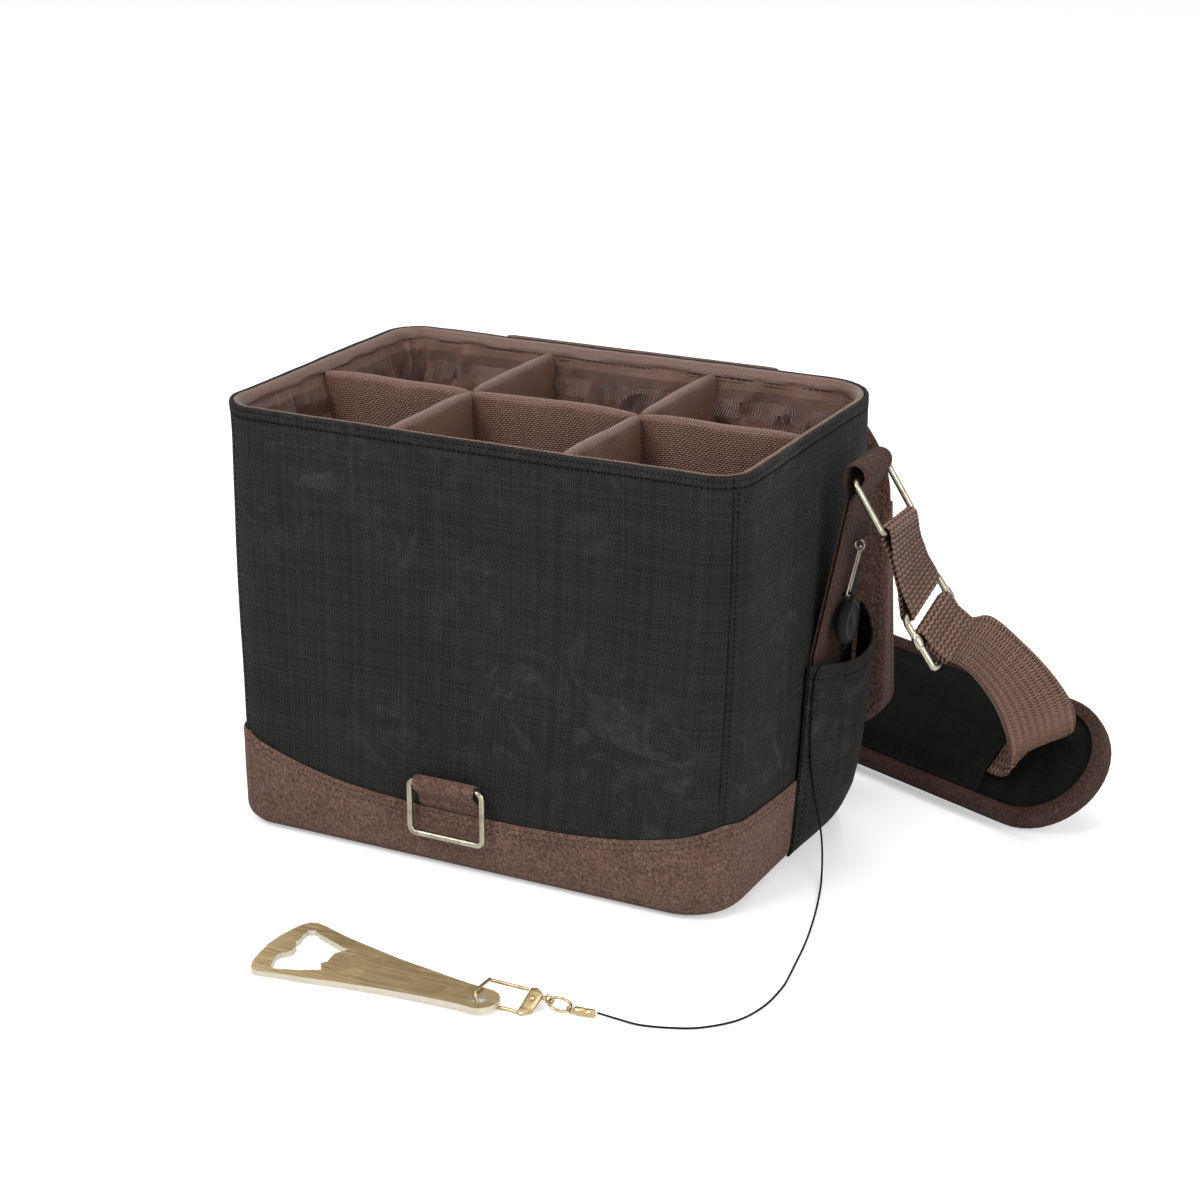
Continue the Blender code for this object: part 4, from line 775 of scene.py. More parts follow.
# the upper row is pulled in so the closed lid's skirt clears it, and ends where the skirt crosses the rim
topRow = [wallStitch(station, bag["rim"] - canvasSewing["topRow"], canvasSewing["topLift"]) for station in wallStations]
rearmost = max(range(len(topRow)), key=lambda place: topRow[place][0].y)
topRow = [spot for spot in topRow[rearmost:] + topRow[:rearmost] if spot[0].y < canvasSewing["topEnds"]]
canvasRows = [hemRow + hemRow[:1], topRow]
for corner, share in cornerSeams:
    # beside the seam, on the side that faces the photograph
    beside = share + canvasSewing["seamOff"] / cornerArcs[corner] * (-1 if corner == 1 else 1)
    heights = [bag["rim"] - canvasSewing["seamTop"] - k * canvasSewing["seamStep"] for k in range(canvasSewing["seamSteps"])]
    canvasRows.append([wallStitch((corner, beside), height) for height in heights])
stitchRows(
    "canvasStitches", canvasRows, darkThread, "root",
    pitch=canvasSewing["pitch"], length=canvasSewing["length"], radius=canvasSewing["radius"],
)
print("stage: canvas walls")

# brown facing rolled over the rim, and the gathered lining below it
facing = {"deep": 0.0086, "inset": 0.0072, "puff": 0.0007, "puffScale": 75, "puffFrom": (0.001, 0.006), "stitchAt": 0.0060}
facingProfile = (
    (0.0021, -0.0012), (0.0023, -0.0003), (0.0030, 0.0000), (0.0046, -0.0006), (0.0060, -0.0018), (0.0070, -0.0034),
    (facing["inset"], 0.0009 - facing["stitchAt"]), (facing["inset"] - 0.0006, -facing["stitchAt"]),
    (facing["inset"] + 0.0002, -0.0009 - facing["stitchAt"]), (facing["inset"], 0.0006 - facing["deep"]),
    (facing["inset"] - 0.0006, -facing["deep"]), (facing["inset"] - 0.0012, -facing["stitchAt"]),
    (0.0052, -0.0028), (0.0030, -0.0018),
)  # insets and drops: over the rim, in to the stitches, down to the edge and back up behind
liningStations = roundTheBag(22, 110, 70)


def facingSpot(station, inset, drop):
    spot = wallPoint(station, bag["rim"], inset)
    spot.z += rimDrop(spot.x, spot.y) + drop
    out = outward(station, bag["rim"])
    wobble = ruffle(spot.x, spot.y, drop * 9, facing["puffScale"]) * facing["puff"] * ease(-drop, *facing["puffFrom"])
    return spot + out * wobble


facingSections = [[facingSpot(station, inset, drop) for inset, drop in facingProfile] for station in liningStations]
sweep("rimFacing", facingSections, satinLining, closed=True, slotName="lining", replaced=("rim_facing",))
facingStitch = [
    (
        facingSpot(station, facing["inset"] - 0.0002, -facing["stitchAt"]), -outward(station, bag["rim"]),
    ) for station in liningStations
]
stitchRows("facingStitches", [facingStitch + facingStitch[:1]], brownThread, "root", pitch=0.0036, length=0.0025)

gather = {
    "top": 0.0056, "outer": 0.0058, "inner": 0.0066, "low": 0.0086, "shelf": 0.0100, "outerLevels": (0.05, 0.10, 0.16),
    "levels": 54,
    "crowd": 0.9, "floorIn": 0.12, "deep": 0.0056, "tuck": 0.0014, "tuckFrom": (0.0060, 0.0085), "from": (0.0075, 0.018),
    "calm": (0.07, 0.16), "calmShare": 0.62, "creaseShare": 0.10, "folds": (60, 2.6, 0.70), "smallFolds": (125, 2.4, 0.46),
}


def gatherIn(station, spot, depth):
    # how far the loose lining stands in from the wall at a depth below the rim: slanting folds, large and small
    scale, narrow, share = gather["folds"]
    smallScale, smallNarrow, smallShare = gather["smallFolds"]
    turn = math.atan2(spot.y * 1.5, spot.x) * 0.14
    fold = 1 - abs(ruffle(spot.x + depth * 0.75, spot.y - depth * 0.60, depth * 0.55, scale)) * narrow
    small = 1 - abs(ruffle(spot.x * 1.2 + turn, spot.y * 1.2 + depth * 0.5, depth * 0.70 + 7, smallScale)) * smallNarrow
    strength = ease(depth, *gather["from"]) * (1 - gather["calmShare"] * ease(depth, *gather["calm"]))
    corner = math.exp(-((station[1] - 0.5) / gather["creaseShare"]) ** 2) if station[1] <= 1 else 0.0
    tuck = gather["tuck"] * ease(depth, *gather["tuckFrom"])
    return tuck + gather["deep"] * strength * (1 - corner) * max(0.0, share * fold + smallShare * small)


liningTop = bag["rim"] - gather["top"]
tubSections = []
for height in (gather["low"], *gather["outerLevels"], liningTop - 0.001):
    tubSections.append([wallPoint(station, height, gather["outer"]) for station in liningStations])
for k in range(gather["levels"] + 1):
    height = liningTop + (gather["shelf"] - liningTop) * (k / gather["levels"]) ** gather["crowd"]
    loop = []
    for station in liningStations:
        spot = wallPoint(station, height, gather["inner"])
        loop.append(wallPoint(station, height, gather["inner"] + gatherIn(station, spot, bag["rim"] - height)))
    tubSections.append(loop)
floorMiddle = Vector((0, 0, gather["shelf"]))
tubSections.append([spot.lerp(floorMiddle, gather["floorIn"]) for spot in tubSections[-1]])
sweep("gatheredLining", tubSections, satinLining, slotName="lining", sharp=60, replaced=("lining_tub", "wall_foam", "base_foam"))
print("stage: lining")

# padded dividers, pinched where they are sewn together
padding = {
    "thick": 0.0080, "top": 0.2221, "low": 0.0099, "place": 0.047, "endGap": 0.0084, "crossGap": 0.0022, "roll": 0.0034,
    "pinch": 0.42, "pinchReach": 0.0075, "dip": 0.0016, "dipReach": 0.006, "sag": 0.0012, "sagScale": 24, "thinTop": 0.10,
    "thinFrom": (0.020, 0.003), "puff": 0.00055, "puffScale": 42, "small": 0.0003, "smallScale": 110, "spare": 0.0004,
    "narrow": 0.055, "narrowTo": 0.22, "step": 0.0021, "levels": 22,
}


def taper(run, length, height):
    # the bag narrows downward, so the divider's ends draw in with it
    squeeze = 1 - (1 - ease(height, 0.0, padding["narrowTo"])) * padding["narrow"]
    return length / 2 + (run - length / 2) * squeeze


def dividerPad(name, start, end, across, pinches, replaced, seed):
    # two puffed faces joined by a rolled top edge, drawn thin at each pinch
    start, end, across = Vector(start), Vector(end), Vector(across)
    length, way = (end - start).length, (end - start).normalized()
    steps = int(length / padding["step"])
    sections = []
    for i in range(steps + 1):
        run = length * i / steps
        near = min(abs(run - pinch) for pinch in pinches)
        fill = padding["pinch"] + (1 - padding["pinch"]) * (1 - math.exp(-near / padding["pinchReach"]))
        sag = padding["dip"] * math.exp(-near / padding["dipReach"]) - padding["sag"] * ruffle(
            run, seed, 1.0, padding["sagScale"],
        )
        topZ = padding["top"] - sag
        rollZ = topZ - padding["roll"]
        half = padding["thick"] / 2 * fill
        heights = [padding["low"] + (rollZ - padding["low"]) * (k / padding["levels"]) for k in range(padding["levels"] + 1)]

        def face(side, height):
            thin = 1 - padding["thinTop"] * ease(height, *(topZ - drop for drop in padding["thinFrom"]))
            puff = padding["puff"] * ruffle(run * 1.3, height, seed + side, padding["puffScale"])
            puff += padding["small"] * ruffle(run, height * 1.4, seed - side, padding["smallScale"])
            reach = min(half * thin + puff * fill, padding["thick"] / 2 + padding["spare"])
            return start + way * taper(run, length, height) + across * reach * side + Vector((0, 0, height))

        def top(angle):
            height = rollZ + padding["roll"] * math.sin(angle)
            reach = half * (1 - padding["thinTop"]) * math.cos(angle)
            return start + way * taper(run, length, height) + across * reach + Vector((0, 0, height))

        loop = [face(1, height) for height in heights] + [top(math.radians(angle)) for angle in range(20, 180, 20)]
        sections.append(loop + [face(-1, height) for height in reversed(heights)])
    made = sweep(name, sections, twill, slotName="lining", replaced=replaced, sharp=70)


longReach, deepReach = bag["rimLong"] - padding["endGap"], bag["rimDeep"] - padding["endGap"]
dividerPad(
    "dividerLong", (-longReach, 0, 0), (longReach, 0, 0), (0, 1, 0),
    (-0.004, longReach - padding["place"], longReach + padding["place"], 2 * longReach + 0.004), ("divider_long",), 2.0,
)
for side, label, node in ((-1, "dividerLeft", "divider_left"), (1, "dividerRight", "divider_right")):
    x, crossed = side * padding["place"], padding["crossGap"]
    dividerPad(
        label + "Front", (x, -deepReach, 0), (x, -crossed, 0), (1, 0, 0), (-0.004, deepReach - 0.0018), (node,), 5.0 + side,
    )
    dividerPad(label + "Back", (x, crossed, 0), (x, deepReach, 0), (1, 0, 0), (-0.0004, deepReach + 0.004), (node,), 9.0 + side)
print("stage: dividers")

# suede foot: base and the curved band with its seams
band = {
    "thick": 0.0012, "low": 0.0043, "frontLow": 0.033, "sideLow": 0.046, "corner": 0.053, "faceCurve": 3, "sideCurve": 1.5,
    "seams": ((0, 0.30), (3, 0.70), (1, 0.5), (2, 0.5)), "seamShare": 0.03, "seamSharp": 5, "seamDeep": 0.0006, "wave": 0.00022,
    "waveScale": 55, "edgeWave": 0.0003, "edgeScale": 40, "footLevels": (0.0043, 0.0060, 0.0078, 0.0100), "levels": 8,
    "rows": (0.0024, 0.0056),
}
bandSeams = [(corner, share, band["seamShare"]) for corner, share in band["seams"]]
bandOut = -skin - band["thick"]
bandStations = roundTheBag(14, 60, 36, bandSeams)


def bandTop(x, y):
    # low in the middle of each side and high at the corners
    face = band["frontLow"] + (band["corner"] - band["frontLow"]) * min(abs(x) / bag["baseLong"], 1) ** band["faceCurve"]
    side = band["sideLow"] + (band["corner"] - band["sideLow"]) * min(abs(y) / bag["baseDeep"], 1) ** band["sideCurve"]
    return min(face, side, band["corner"])


def bandSpot(station, height):
    spot = wallPoint(station, height, bandOut)
    dip = band["seamDeep"] * seamDip(station, bandSeams, band["seamSharp"])
    return spot + outward(station, height) * (band["wave"] * ruffle(spot.x, spot.y, spot.z * 1.5, band["waveScale"]) - dip)


bandSections, bandStitch = [], [[], []]
for station in bandStations:
    probe = wallPoint(station, band["frontLow"], 0)
    top = bandTop(probe.x, probe.y) + band["edgeWave"] * ruffle(probe.x, probe.y, 2.0, band["edgeScale"])
    foot = band["footLevels"][-1]
    heights = [*band["footLevels"], *(foot + (top - 0.0010 - foot) * k / band["levels"] for k in range(1, band["levels"] + 1))]
    out = outward(station, top)
    outer = [bandSpot(station, height) for height in heights]
    rolled = [bandSpot(station, top - 0.0003) - out * 0.0003, bandSpot(station, top) - out * 0.0008]
    inner = [wallPoint(station, height, -skin) for height in (top - 0.0006, foot, band["low"])]
    bandSections.append(outer + rolled + inner)
    for row, below in zip(bandStitch, band["rows"]):
        row.append((bandSpot(station, top - below), outward(station, top - below)))
sweep("suedeBand", bandSections, suede, closed=True, slotName="suede", replaced=("suede_trim",))
stitchRows(
    "bandStitches", [row + row[:1] for row in bandStitch], brownThread, "root", pitch=0.0032, length=0.0021, radius=0.00024,
)
base = {
    "edge": ((0.0, 0.0016), (0.0006, 0.0006), (0.0018, 0.0), (0.0040, 0.0)), "underShare": 0.2, "topShare": 0.97, "top": 0.0041,
}
baseLoops = [[wallPoint(station, height, bandOut + inward) for station in bandStations] for height, inward in base["edge"]]
baseLoops.insert(0, [Vector((spot.x * base["underShare"], spot.y * base["underShare"], 0.0)) for spot in baseLoops[0]])
baseLoops.append([Vector((spot.x * base["topShare"], spot.y * base["topShare"], base["top"])) for spot in baseLoops[-1]])
sweep("suedeBase", baseLoops, suede, slotName="suede", replaced=("base_panel",))
print("stage: suede foot")

# pocket on the right side, slack at its mouth
pocket = {
    "front": -0.004, "back": 0.068, "lip": 0.104, "riseFront": 0.004, "riseBack": 0.014, "bulge": 0.0155, "belly": 5,
    "thick": 0.0016,
    "low": 0.0043, "outset": 0.0018, "fold": 0.0012, "foldScale": 42, "small": 0.0004, "smallScale": 120, "lipWave": 0.0006,
    "lipScale": 60, "shares": 44, "footLevels": (0, 0.012, 0.03, 0.055, 0.09, 0.14), "bodyLevels": (0.2, 0.97, 20),
    "lipLevel": 0.985, "lipRoll": ((0.997, 0.8), (1.0, 0.5), (0.997, 0.2)), "hemLevel": 0.93, "edgeShare": 0.035,
}


def pocketSpot(share, level, layer):
    # share runs from the front edge to the back one, level from the foot to the lip
    lip = pocket["lip"] + pocket["riseFront"] * (1 - share) ** 4 + pocket["riseBack"] * share ** 3
    height = pocket["low"] + (lip - pocket["low"]) * level
    y = pocket["front"] + (pocket["back"] - pocket["front"]) * share
    bulge = pocket["bulge"] * math.sin(math.pi * share) ** 0.9 * (1 - (1 - level) ** pocket["belly"])
    slack = math.sin(math.pi * share) ** 0.6 * ease(level, 0.05, 0.3)
    fold = pocket["fold"] * ruffle(y * 2.2, 3.0 + height * 0.35, 0.4, pocket["foldScale"])
    fold += pocket["small"] * ruffle(y, height, 6.0, pocket["smallScale"])
    lipWave = pocket["lipWave"] * ruffle(y, 1, 2, pocket["lipScale"]) * level ** 6
    return Vector((sideReach(y, height, pocket["outset"]) + bulge + layer + fold * slack, y, height + lipWave))


pocketShares = [k / pocket["shares"] for k in range(pocket["shares"] + 1)]
bodyLow, bodyHigh, bodySteps = pocket["bodyLevels"]
bodyLevels = [bodyLow + (bodyHigh - bodyLow) * k / bodySteps for k in range(bodySteps + 1)]
pocketLevels = [*pocket["footLevels"], *bodyLevels, pocket["lipLevel"]]
pocketSections = []
for share in pocketShares:
    outer = [pocketSpot(share, level, pocket["thick"]) for level in pocketLevels]
    lip = [pocketSpot(share, level, pocket["thick"] * layer) for level, layer in pocket["lipRoll"]]
    inner = [pocketSpot(share, level, 0) for level in reversed(pocketLevels)]
    pocketSections.append(outer + lip + inner)
sweep("sidePocket", pocketSections, canvas, slotName="canvas", replaced=("pocket",))


def pocketOut(share, level, step=0.02):
    along = pocketSpot(min(share + step, 1), level, 0) - pocketSpot(max(share - step, 0), level, 0)
    return along.cross(Vector((0, 0, 1))).normalized()


lipRow = [
    (pocketSpot(share, pocket["hemLevel"], pocket["thick"]), pocketOut(share, pocket["hemLevel"])) for share in pocketShares
]
edgeOut = pocketOut(pocket["edgeShare"], 0.5)
edgeRow = [(pocketSpot(pocket["edgeShare"], 0.03 + 0.92 * k / 30, pocket["thick"]), edgeOut) for k in range(31)]
stitchRows("pocketStitches", [lipRow, edgeRow], darkThread, "root")
print("stage: pocket")

# straps, rings and sliders, mirrored left to right
gear = {
    "strapWide": 0.036, "strapThick": 0.0015, "centre": 0.019, "wire": 0.0016, "wide": 0.044, "high": 0.031, "corner": 0.0034,
    "clear": 0.0006, "tabLow": 0.085, "tabMouth": 0.111, "barReach": 0.019, "barHigh": 0.202, "linkDrop": 0.0368,
    "rightLeans": (33.0, 19.7, 35.4, 34.5), "leftLeans": (4.0, 2.0, 5.0, 67.0), "barShare": 0.44, "tabLoop": 0.0055,
    "endLong": 0.017,
    "skew": 0.27, "skewFrom": 0.176, "skewFull": 0.148, "tabNeck": 0.87, "tabRow": 0.0148, "linkShares": (0.32, 0.68),
    "throatShare": 0.42, "knuckle": 0.0029, "knuckleShares": (-1, -0.8, -0.4, 0, 0.4, 0.8, 1),
}


def loopRound(centre, radius, throat, steps=20):
    # the part of a circle that a strap follows from its throat, round the wire and back
    away = (throat[0] - centre[0], throat[1] - centre[1])
    aim = math.atan2(away[1], away[0])
    spread = math.acos(min(1, radius / math.hypot(*away)))
    found = []
    for step in range(steps + 1):
        angle = aim + spread + (2 * math.pi - 2 * spread) * step / steps
        found.append((centre[0] + radius * math.cos(angle), centre[1] + radius * math.sin(angle)))
    return found


def leaning(degrees):
    return (math.sin(math.radians(degrees)), -math.cos(math.radians(degrees)))


def stepped(place, way, distance):
    return (place[0] + way[0] * distance, place[1] + way[1] * distance)


halfPair = (gear["strapThick"] + skin) / 2
barHalf = gear["wide"] / 2 - gear["wire"]
ringSpan = gear["high"] - 2 * gear["wire"]
ringTop = (bag["rimLong"] + gear["barReach"], gear["barHigh"])


def hanging(leans):
    # places and ways of the ring, link, slider and webbing end, as they hang
    ringWay, linkWay, sliderWay = [leaning(lean) for lean in leans[:3]]
    ringLow = stepped(ringTop, ringWay, ringSpan)
    sliderTop = stepped(ringLow, linkWay, gear["linkDrop"])
    sliderBar = stepped(sliderTop, sliderWay, ringSpan * gear["barShare"])
    endWay = (math.cos(math.radians(-leans[3])), math.sin(math.radians(-leans[3])))
    endPoint = stepped(sliderBar, endWay, gear["endLong"])
    return ringWay, ringLow, linkWay, sliderTop, sliderWay, sliderBar, endWay, endPoint


rightHang, leftHang = hanging(gear["rightLeans"]), hanging(gear["leftLeans"])
smallLoop = gear["wire"] + gear["clear"] + gear["strapThick"] / 2


def spaced(side, place, y=gear["centre"]):
    # a place seen from the front, set on the right side or mirrored to the left
    return Vector((side * place[0], y, place[1]))


def frameLine(centre, halfWide, halfHigh, radius, wideWay, highWay, steps=7):
    # rectangle with round corners, the line of a bent wire frame
    wideWay, highWay = Vector(wideWay), Vector(highWay)
    points = []
    for corner in range(4):
        signW = 1 if corner in (0, 3) else -1
        signH = 1 if corner in (0, 1) else -1
        for step in range(steps + 1):
            angle = math.radians(90 * corner + 90 * step / steps)
            points.append(
                Vector(centre) + wideWay * (signW * (halfWide - radius) + radius * math.cos(angle))
                + highWay * (signH * (halfHigh - radius) + radius * math.sin(angle))
            )
    return points


ribs = {
    "pitch": 0.0024, "high": 0.00030, "edgeHigh": 0.00040, "edgeFrom": 0.84, "edgeShift": 0.9, "fine": 0.35, "fineAcross": 30,
    "fineAlong": 900, "spacing": 0.00052,
}
suedeGrain = {"high": 0.00010, "scale": 170, "width": 0.036, "spacing": 0.0014}


def ribLift(run, share, side):
    # cross ribs of the webbing, with a braided edge
    atEdge = abs(2 * share - 1) > ribs["edgeFrom"]
    wave = math.sin(2 * math.pi * run / ribs["pitch"] + (ribs["edgeShift"] * side if atEdge else 0))
    fine = ribs["fine"] * math.sin(2 * math.pi * share * ribs["fineAcross"] + run * ribs["fineAlong"])
    return (wave + fine) * (ribs["edgeHigh"] if atEdge else ribs["high"])


def suedeLift(run, share, side):
    return suedeGrain["high"] * ruffle(run, share * suedeGrain["width"], side * 2.0, suedeGrain["scale"])


def flatStrap(name, path, side, width, thickness, material, closed=False, lift=None, spacing=0.001, **more):
    # strap along a path seen from the front, centred on the rings
    line = [spaced(side, point) for point in path]
    length = running(line, closed)[-1]
    line = evenly(line, max(12, int(length / spacing)), closed)
    half = Vector((0, width / 2, 0))
    edges = [(point - half, point + half) for point in line]
    return strap(name, edges, thickness, material, closed=closed, lift=lift, **more)


def wireFitting(name, side, top, way, body, node):
    # ring or slider hung by its top bar
    middle = stepped(top, way, ringSpan / 2)
    high = Vector((-side * way[0], 0, -way[1]))
    path = frameLine(spaced(side, middle), barHalf, ringSpan / 2, gear["corner"], (0, 1, 0), high)
    return wire(
        name, path, gear["wire"], nickel, high.cross(Vector((0, 1, 0))), True, body=body, slotName="nickel", replaced=(node,),
    )


def skewAt(height):
    # the hanging gear is twisted toward the photograph, from below the ring to the slider
    return gear["skew"] * max(0, min(1, (gear["skewFrom"] - height) / (gear["skewFrom"] - gear["skewFull"])))


def knuckleRadius(share):
    # swelling where the bar is rolled round the slider's side
    return gear["wire"] * (1.18 + 0.30 * math.sin(math.pi * share))


def tabPlan(ringWay, reach):
    # the doubled suede tab leaves the wall, opens at its mouth and narrows to a neck below the loop round the ring
    off = skin * 1.5 + gear["strapThick"]
    start, mouth = reach(gear["tabLow"]) + off, reach(gear["tabMouth"]) + off
    seat = gear["clear"] + gear["wire"] + gear["strapThick"] / 2
    loop = stepped(ringTop, ringWay, seat - gear["tabLoop"])
    neck = tuple(low + (high - low) * gear["tabNeck"] for low, high in zip((mouth, gear["tabMouth"]), loop))
    lean = Vector((neck[0] - mouth, neck[1] - gear["tabMouth"])).normalized()
    return start, mouth, loop, neck, lean


def sideGear(word, side, hang, reach):
    body = word + "_link"
    ringWay, ringLow, linkWay, sliderTop, sliderWay, sliderBar, endWay, endPoint = hang
    wireFitting(word + "Ring", side, ringTop, ringWay, body, "ring_" + word)
    twisted = [wireFitting(word + "Slider", side, sliderTop, sliderWay, body, "slider_" + word)]
    # middle bar with its rolled ends closed round the slider's sides
    barPath = [spaced(side, sliderBar, gear["centre"] + share * barHalf) for share in (-1, 1)]
    twisted.append(wire(
        word + "SliderBar", evenly(barPath, 20), gear["wire"] * 0.98, nickel, body=body, slotName="nickel",
        replaced=("slider_bar_" + word,),
    ))
    lean = Vector((side * sliderWay[0], 0, sliderWay[1]))
    for sign, label in ((-1, "Near"), (1, "Far")):
        middle = spaced(side, sliderBar, gear["centre"] + sign * barHalf)
        rolled = [middle + lean * share * gear["knuckle"] for share in gear["knuckleShares"]]
        twisted.append(wire(word + "Knuckle" + label, rolled, knuckleRadius, nickel, (0, 1, 0), body=body, slotName="nickel"))

    first, second = [stepped(ringLow, linkWay, gear["linkDrop"] * share) for share in gear["linkShares"]]
    square = (-linkWay[1], linkWay[0])
    aroundRing, aroundBar = loopRound(ringLow, smallLoop, first), loopRound(sliderTop, smallLoop, second)
    near = [stepped(first, square, -halfPair), stepped(second, square, -halfPair)]
    far = [stepped(second, square, halfPair), stepped(first, square, halfPair)]
    twisted.append(flatStrap(
        word + "LinkWebbing", aroundRing + near + aroundBar + far, side, gear["strapWide"], gear["strapThick"], webCloth,
        closed=True,
        lift=ribLift, spacing=ribs["spacing"], body=body, slotName="webbing", replaced=("link_" + word,), steps=20,
    ))

    throat = stepped(sliderBar, endWay, gear["endLong"] * gear["throatShare"])
    sideWay = (-endWay[1], endWay[0])
    path = [stepped(endPoint, sideWay, halfPair), stepped(throat, sideWay, halfPair)] + loopRound(sliderBar, smallLoop, throat)
    path += [stepped(throat, sideWay, -halfPair), stepped(endPoint, sideWay, -halfPair)]
    twisted.append(flatStrap(
        word + "WebbingEnd", path, side, gear["strapWide"], gear["strapThick"], webCloth, lift=ribLift, spacing=ribs["spacing"],
        body=body, slotName="webbing", replaced=("webbing_end_" + word,), steps=20,
    ))
    if side > 0:
        for made in twisted:
            for vertex in made.data.vertices:
                vertex.co.z += skewAt(vertex.co.z) * (vertex.co.y - gear["centre"])

    start, mouth, loop, neck, lean = tabPlan(ringWay, reach)
    flat = (lean[1], -lean[0])
    outerLeaf = [stepped(neck, flat, halfPair), (mouth + halfPair, gear["tabMouth"]), (start + halfPair, gear["tabLow"])]
    innerLeaf = [(start - halfPair, gear["tabLow"]), (mouth - halfPair, gear["tabMouth"]), stepped(neck, flat, -halfPair)]
    path = outerLeaf[::-1] + loopRound(loop, gear["tabLoop"], neck, 26) + innerLeaf[::-1]
    # the tab's suede carries painted shade
    flatStrap(
        word + "SuedeTab", path, side, gear["strapWide"], gear["strapThick"], shadedSuede, lift=suedeLift,
        spacing=suedeGrain["spacing"],
        slotName="suede", replaced=("tab_" + word,), steps=18, edgeRound=0.06,
    )
    rows = []
    face = [stepped(point, flat if point is not outerLeaf[2] else (1, 0), gear["strapThick"] / 2) for point in outerLeaf]
    for y in (gear["centre"] - gear["tabRow"], gear["centre"] + gear["tabRow"]):
        line = evenly([spaced(side, point, y) for point in face], 40)
        rows.append([(point, (side * flat[0], 0, flat[1])) for point in line])
    stitchRows(word + "TabStitches", rows, brownThread, "root")


sideGear("right", 1, rightHang, halfLong)
sideGear("left", -1, leftHang, leftLong)
print("stage: rings, sliders and tabs")

# front ring in its folded suede tab
frontGear = {"centre": -0.012, "bar": 0.0484, "wide": 0.0344, "start": 0.0338, "end": 0.0362, "thick": 0.0012, "rowShare": 0.42}
frontY = -(halfDeep(frontGear["bar"]) + skin * 2 + frontGear["thick"] * 2 + gear["clear"] + gear["wire"])
frontLine = frameLine(
    (frontGear["centre"], frontY, frontGear["bar"] - ringSpan / 2), barHalf, ringSpan / 2, gear["corner"], (1, 0, 0), (0, 0, 1),
)
wire(
    "frontRing", frontLine, gear["wire"], nickel, (0, 1, 0), True, body="front_ring", slotName="nickel", replaced=("front_ring",),
)
frontLoop = gear["wire"] + gear["clear"] + frontGear["thick"] / 2
backY = -(halfDeep(frontGear["start"]) + skin + frontGear["thick"] / 2)
leafShare = (frontGear["end"] - frontGear["start"]) / (frontGear["bar"] - frontGear["start"])
leafY = backY + (frontY + frontLoop - backY) * leafShare - frontGear["thick"] - skin
foldLine = [(backY, frontGear["start"])]
for step in range(17):
    angle = math.pi * step / 16
    foldLine.append((frontY + frontLoop * math.cos(angle), frontGear["bar"] + frontLoop * math.sin(angle)))
foldLine += [
    (frontY - frontLoop + 0.0002, frontGear["bar"] - 0.003), (leafY - 0.0006, frontGear["end"] + 0.004),
    (leafY, frontGear["end"]),
]
tabLine = smoothPath([Vector((frontGear["centre"], y, z)) for y, z in foldLine], 60)
halfTab = Vector((frontGear["wide"] / 2, 0, 0))
strap(
    "frontSuedeTab", [(point - halfTab, point + halfTab) for point in tabLine], frontGear["thick"], suede, lift=suedeLift,
    steps=18, edgeRound=0.06, slotName="suede", replaced=("front_tab",),
)
stitchLine = [tabLine[-4] + Vector((frontGear["wide"] * frontGear["rowShare"] * side, -0.0007, 0.0012)) for side in (-1, 1)]
frontRow = [(point, (0, -1, 0.1)) for point in evenly(stitchLine, 12)]
stitchRows("frontTabStitches", [frontRow], brownThread, "root", pitch=0.003, length=0.0021)

# shoulder pad, leaning on its lower edge behind the bag
padSize = {
    "long": 0.225, "wide": 0.073, "thick": 0.008, "tip": 0.073, "yaw": -22.2, "tilt": 40.0, "x": 0.180, "y": 0.103,
    "bind": 0.0012, "lap": 0.0058, "hem": 0.018, "sleeve": 0.118, "cloth": 0.0012, "sleeveSteps": 56, "sleeveAcross": 32,
    "archOut": 0.012, "archIn": 0.0008, "wrinkle": 0.00035, "wrinkleScale": 60, "exit": 0.0045, "runSplit": -0.025,
}
yaw, tilt = math.radians(padSize["yaw"]), math.radians(padSize["tilt"])
padAlong = Vector((math.cos(yaw), math.sin(yaw), 0))
padUp = Vector((-math.sin(yaw) * math.cos(tilt), math.cos(yaw) * math.cos(tilt), math.sin(tilt)))
padOut = padAlong.cross(padUp)
bindReach = skin + padSize["bind"]
padSeat = Vector((padSize["x"], padSize["y"], bindReach * (math.sin(tilt) + math.cos(tilt))))


def padSpot(along, up, out):
    # along and up its lower face, and out through its thickness
    return padSeat + padAlong * along + padUp * up + padOut * out


def padOutline(inset, steps=22, straight=30):
    radius = max(padSize["wide"] / 2 - inset, 0.0002)
    right = padSize["tip"] - padSize["wide"] / 2
    left = padSize["tip"] - padSize["long"] + padSize["wide"] / 2
    points = []
    for centre, other, turnFrom in ((right, left, -90), (left, right, 90)):
        for step in range(steps + 1):
            angle = math.radians(turnFrom + 180 * step / steps)
            points.append((centre + radius * math.cos(angle), padSize["wide"] / 2 + radius * math.sin(angle)))
        edge = padSize["wide"] / 2 + radius * (1 if turnFrom < 0 else -1)
        points += [(centre + (other - centre) * step / straight, edge) for step in range(1, straight)]
    return points


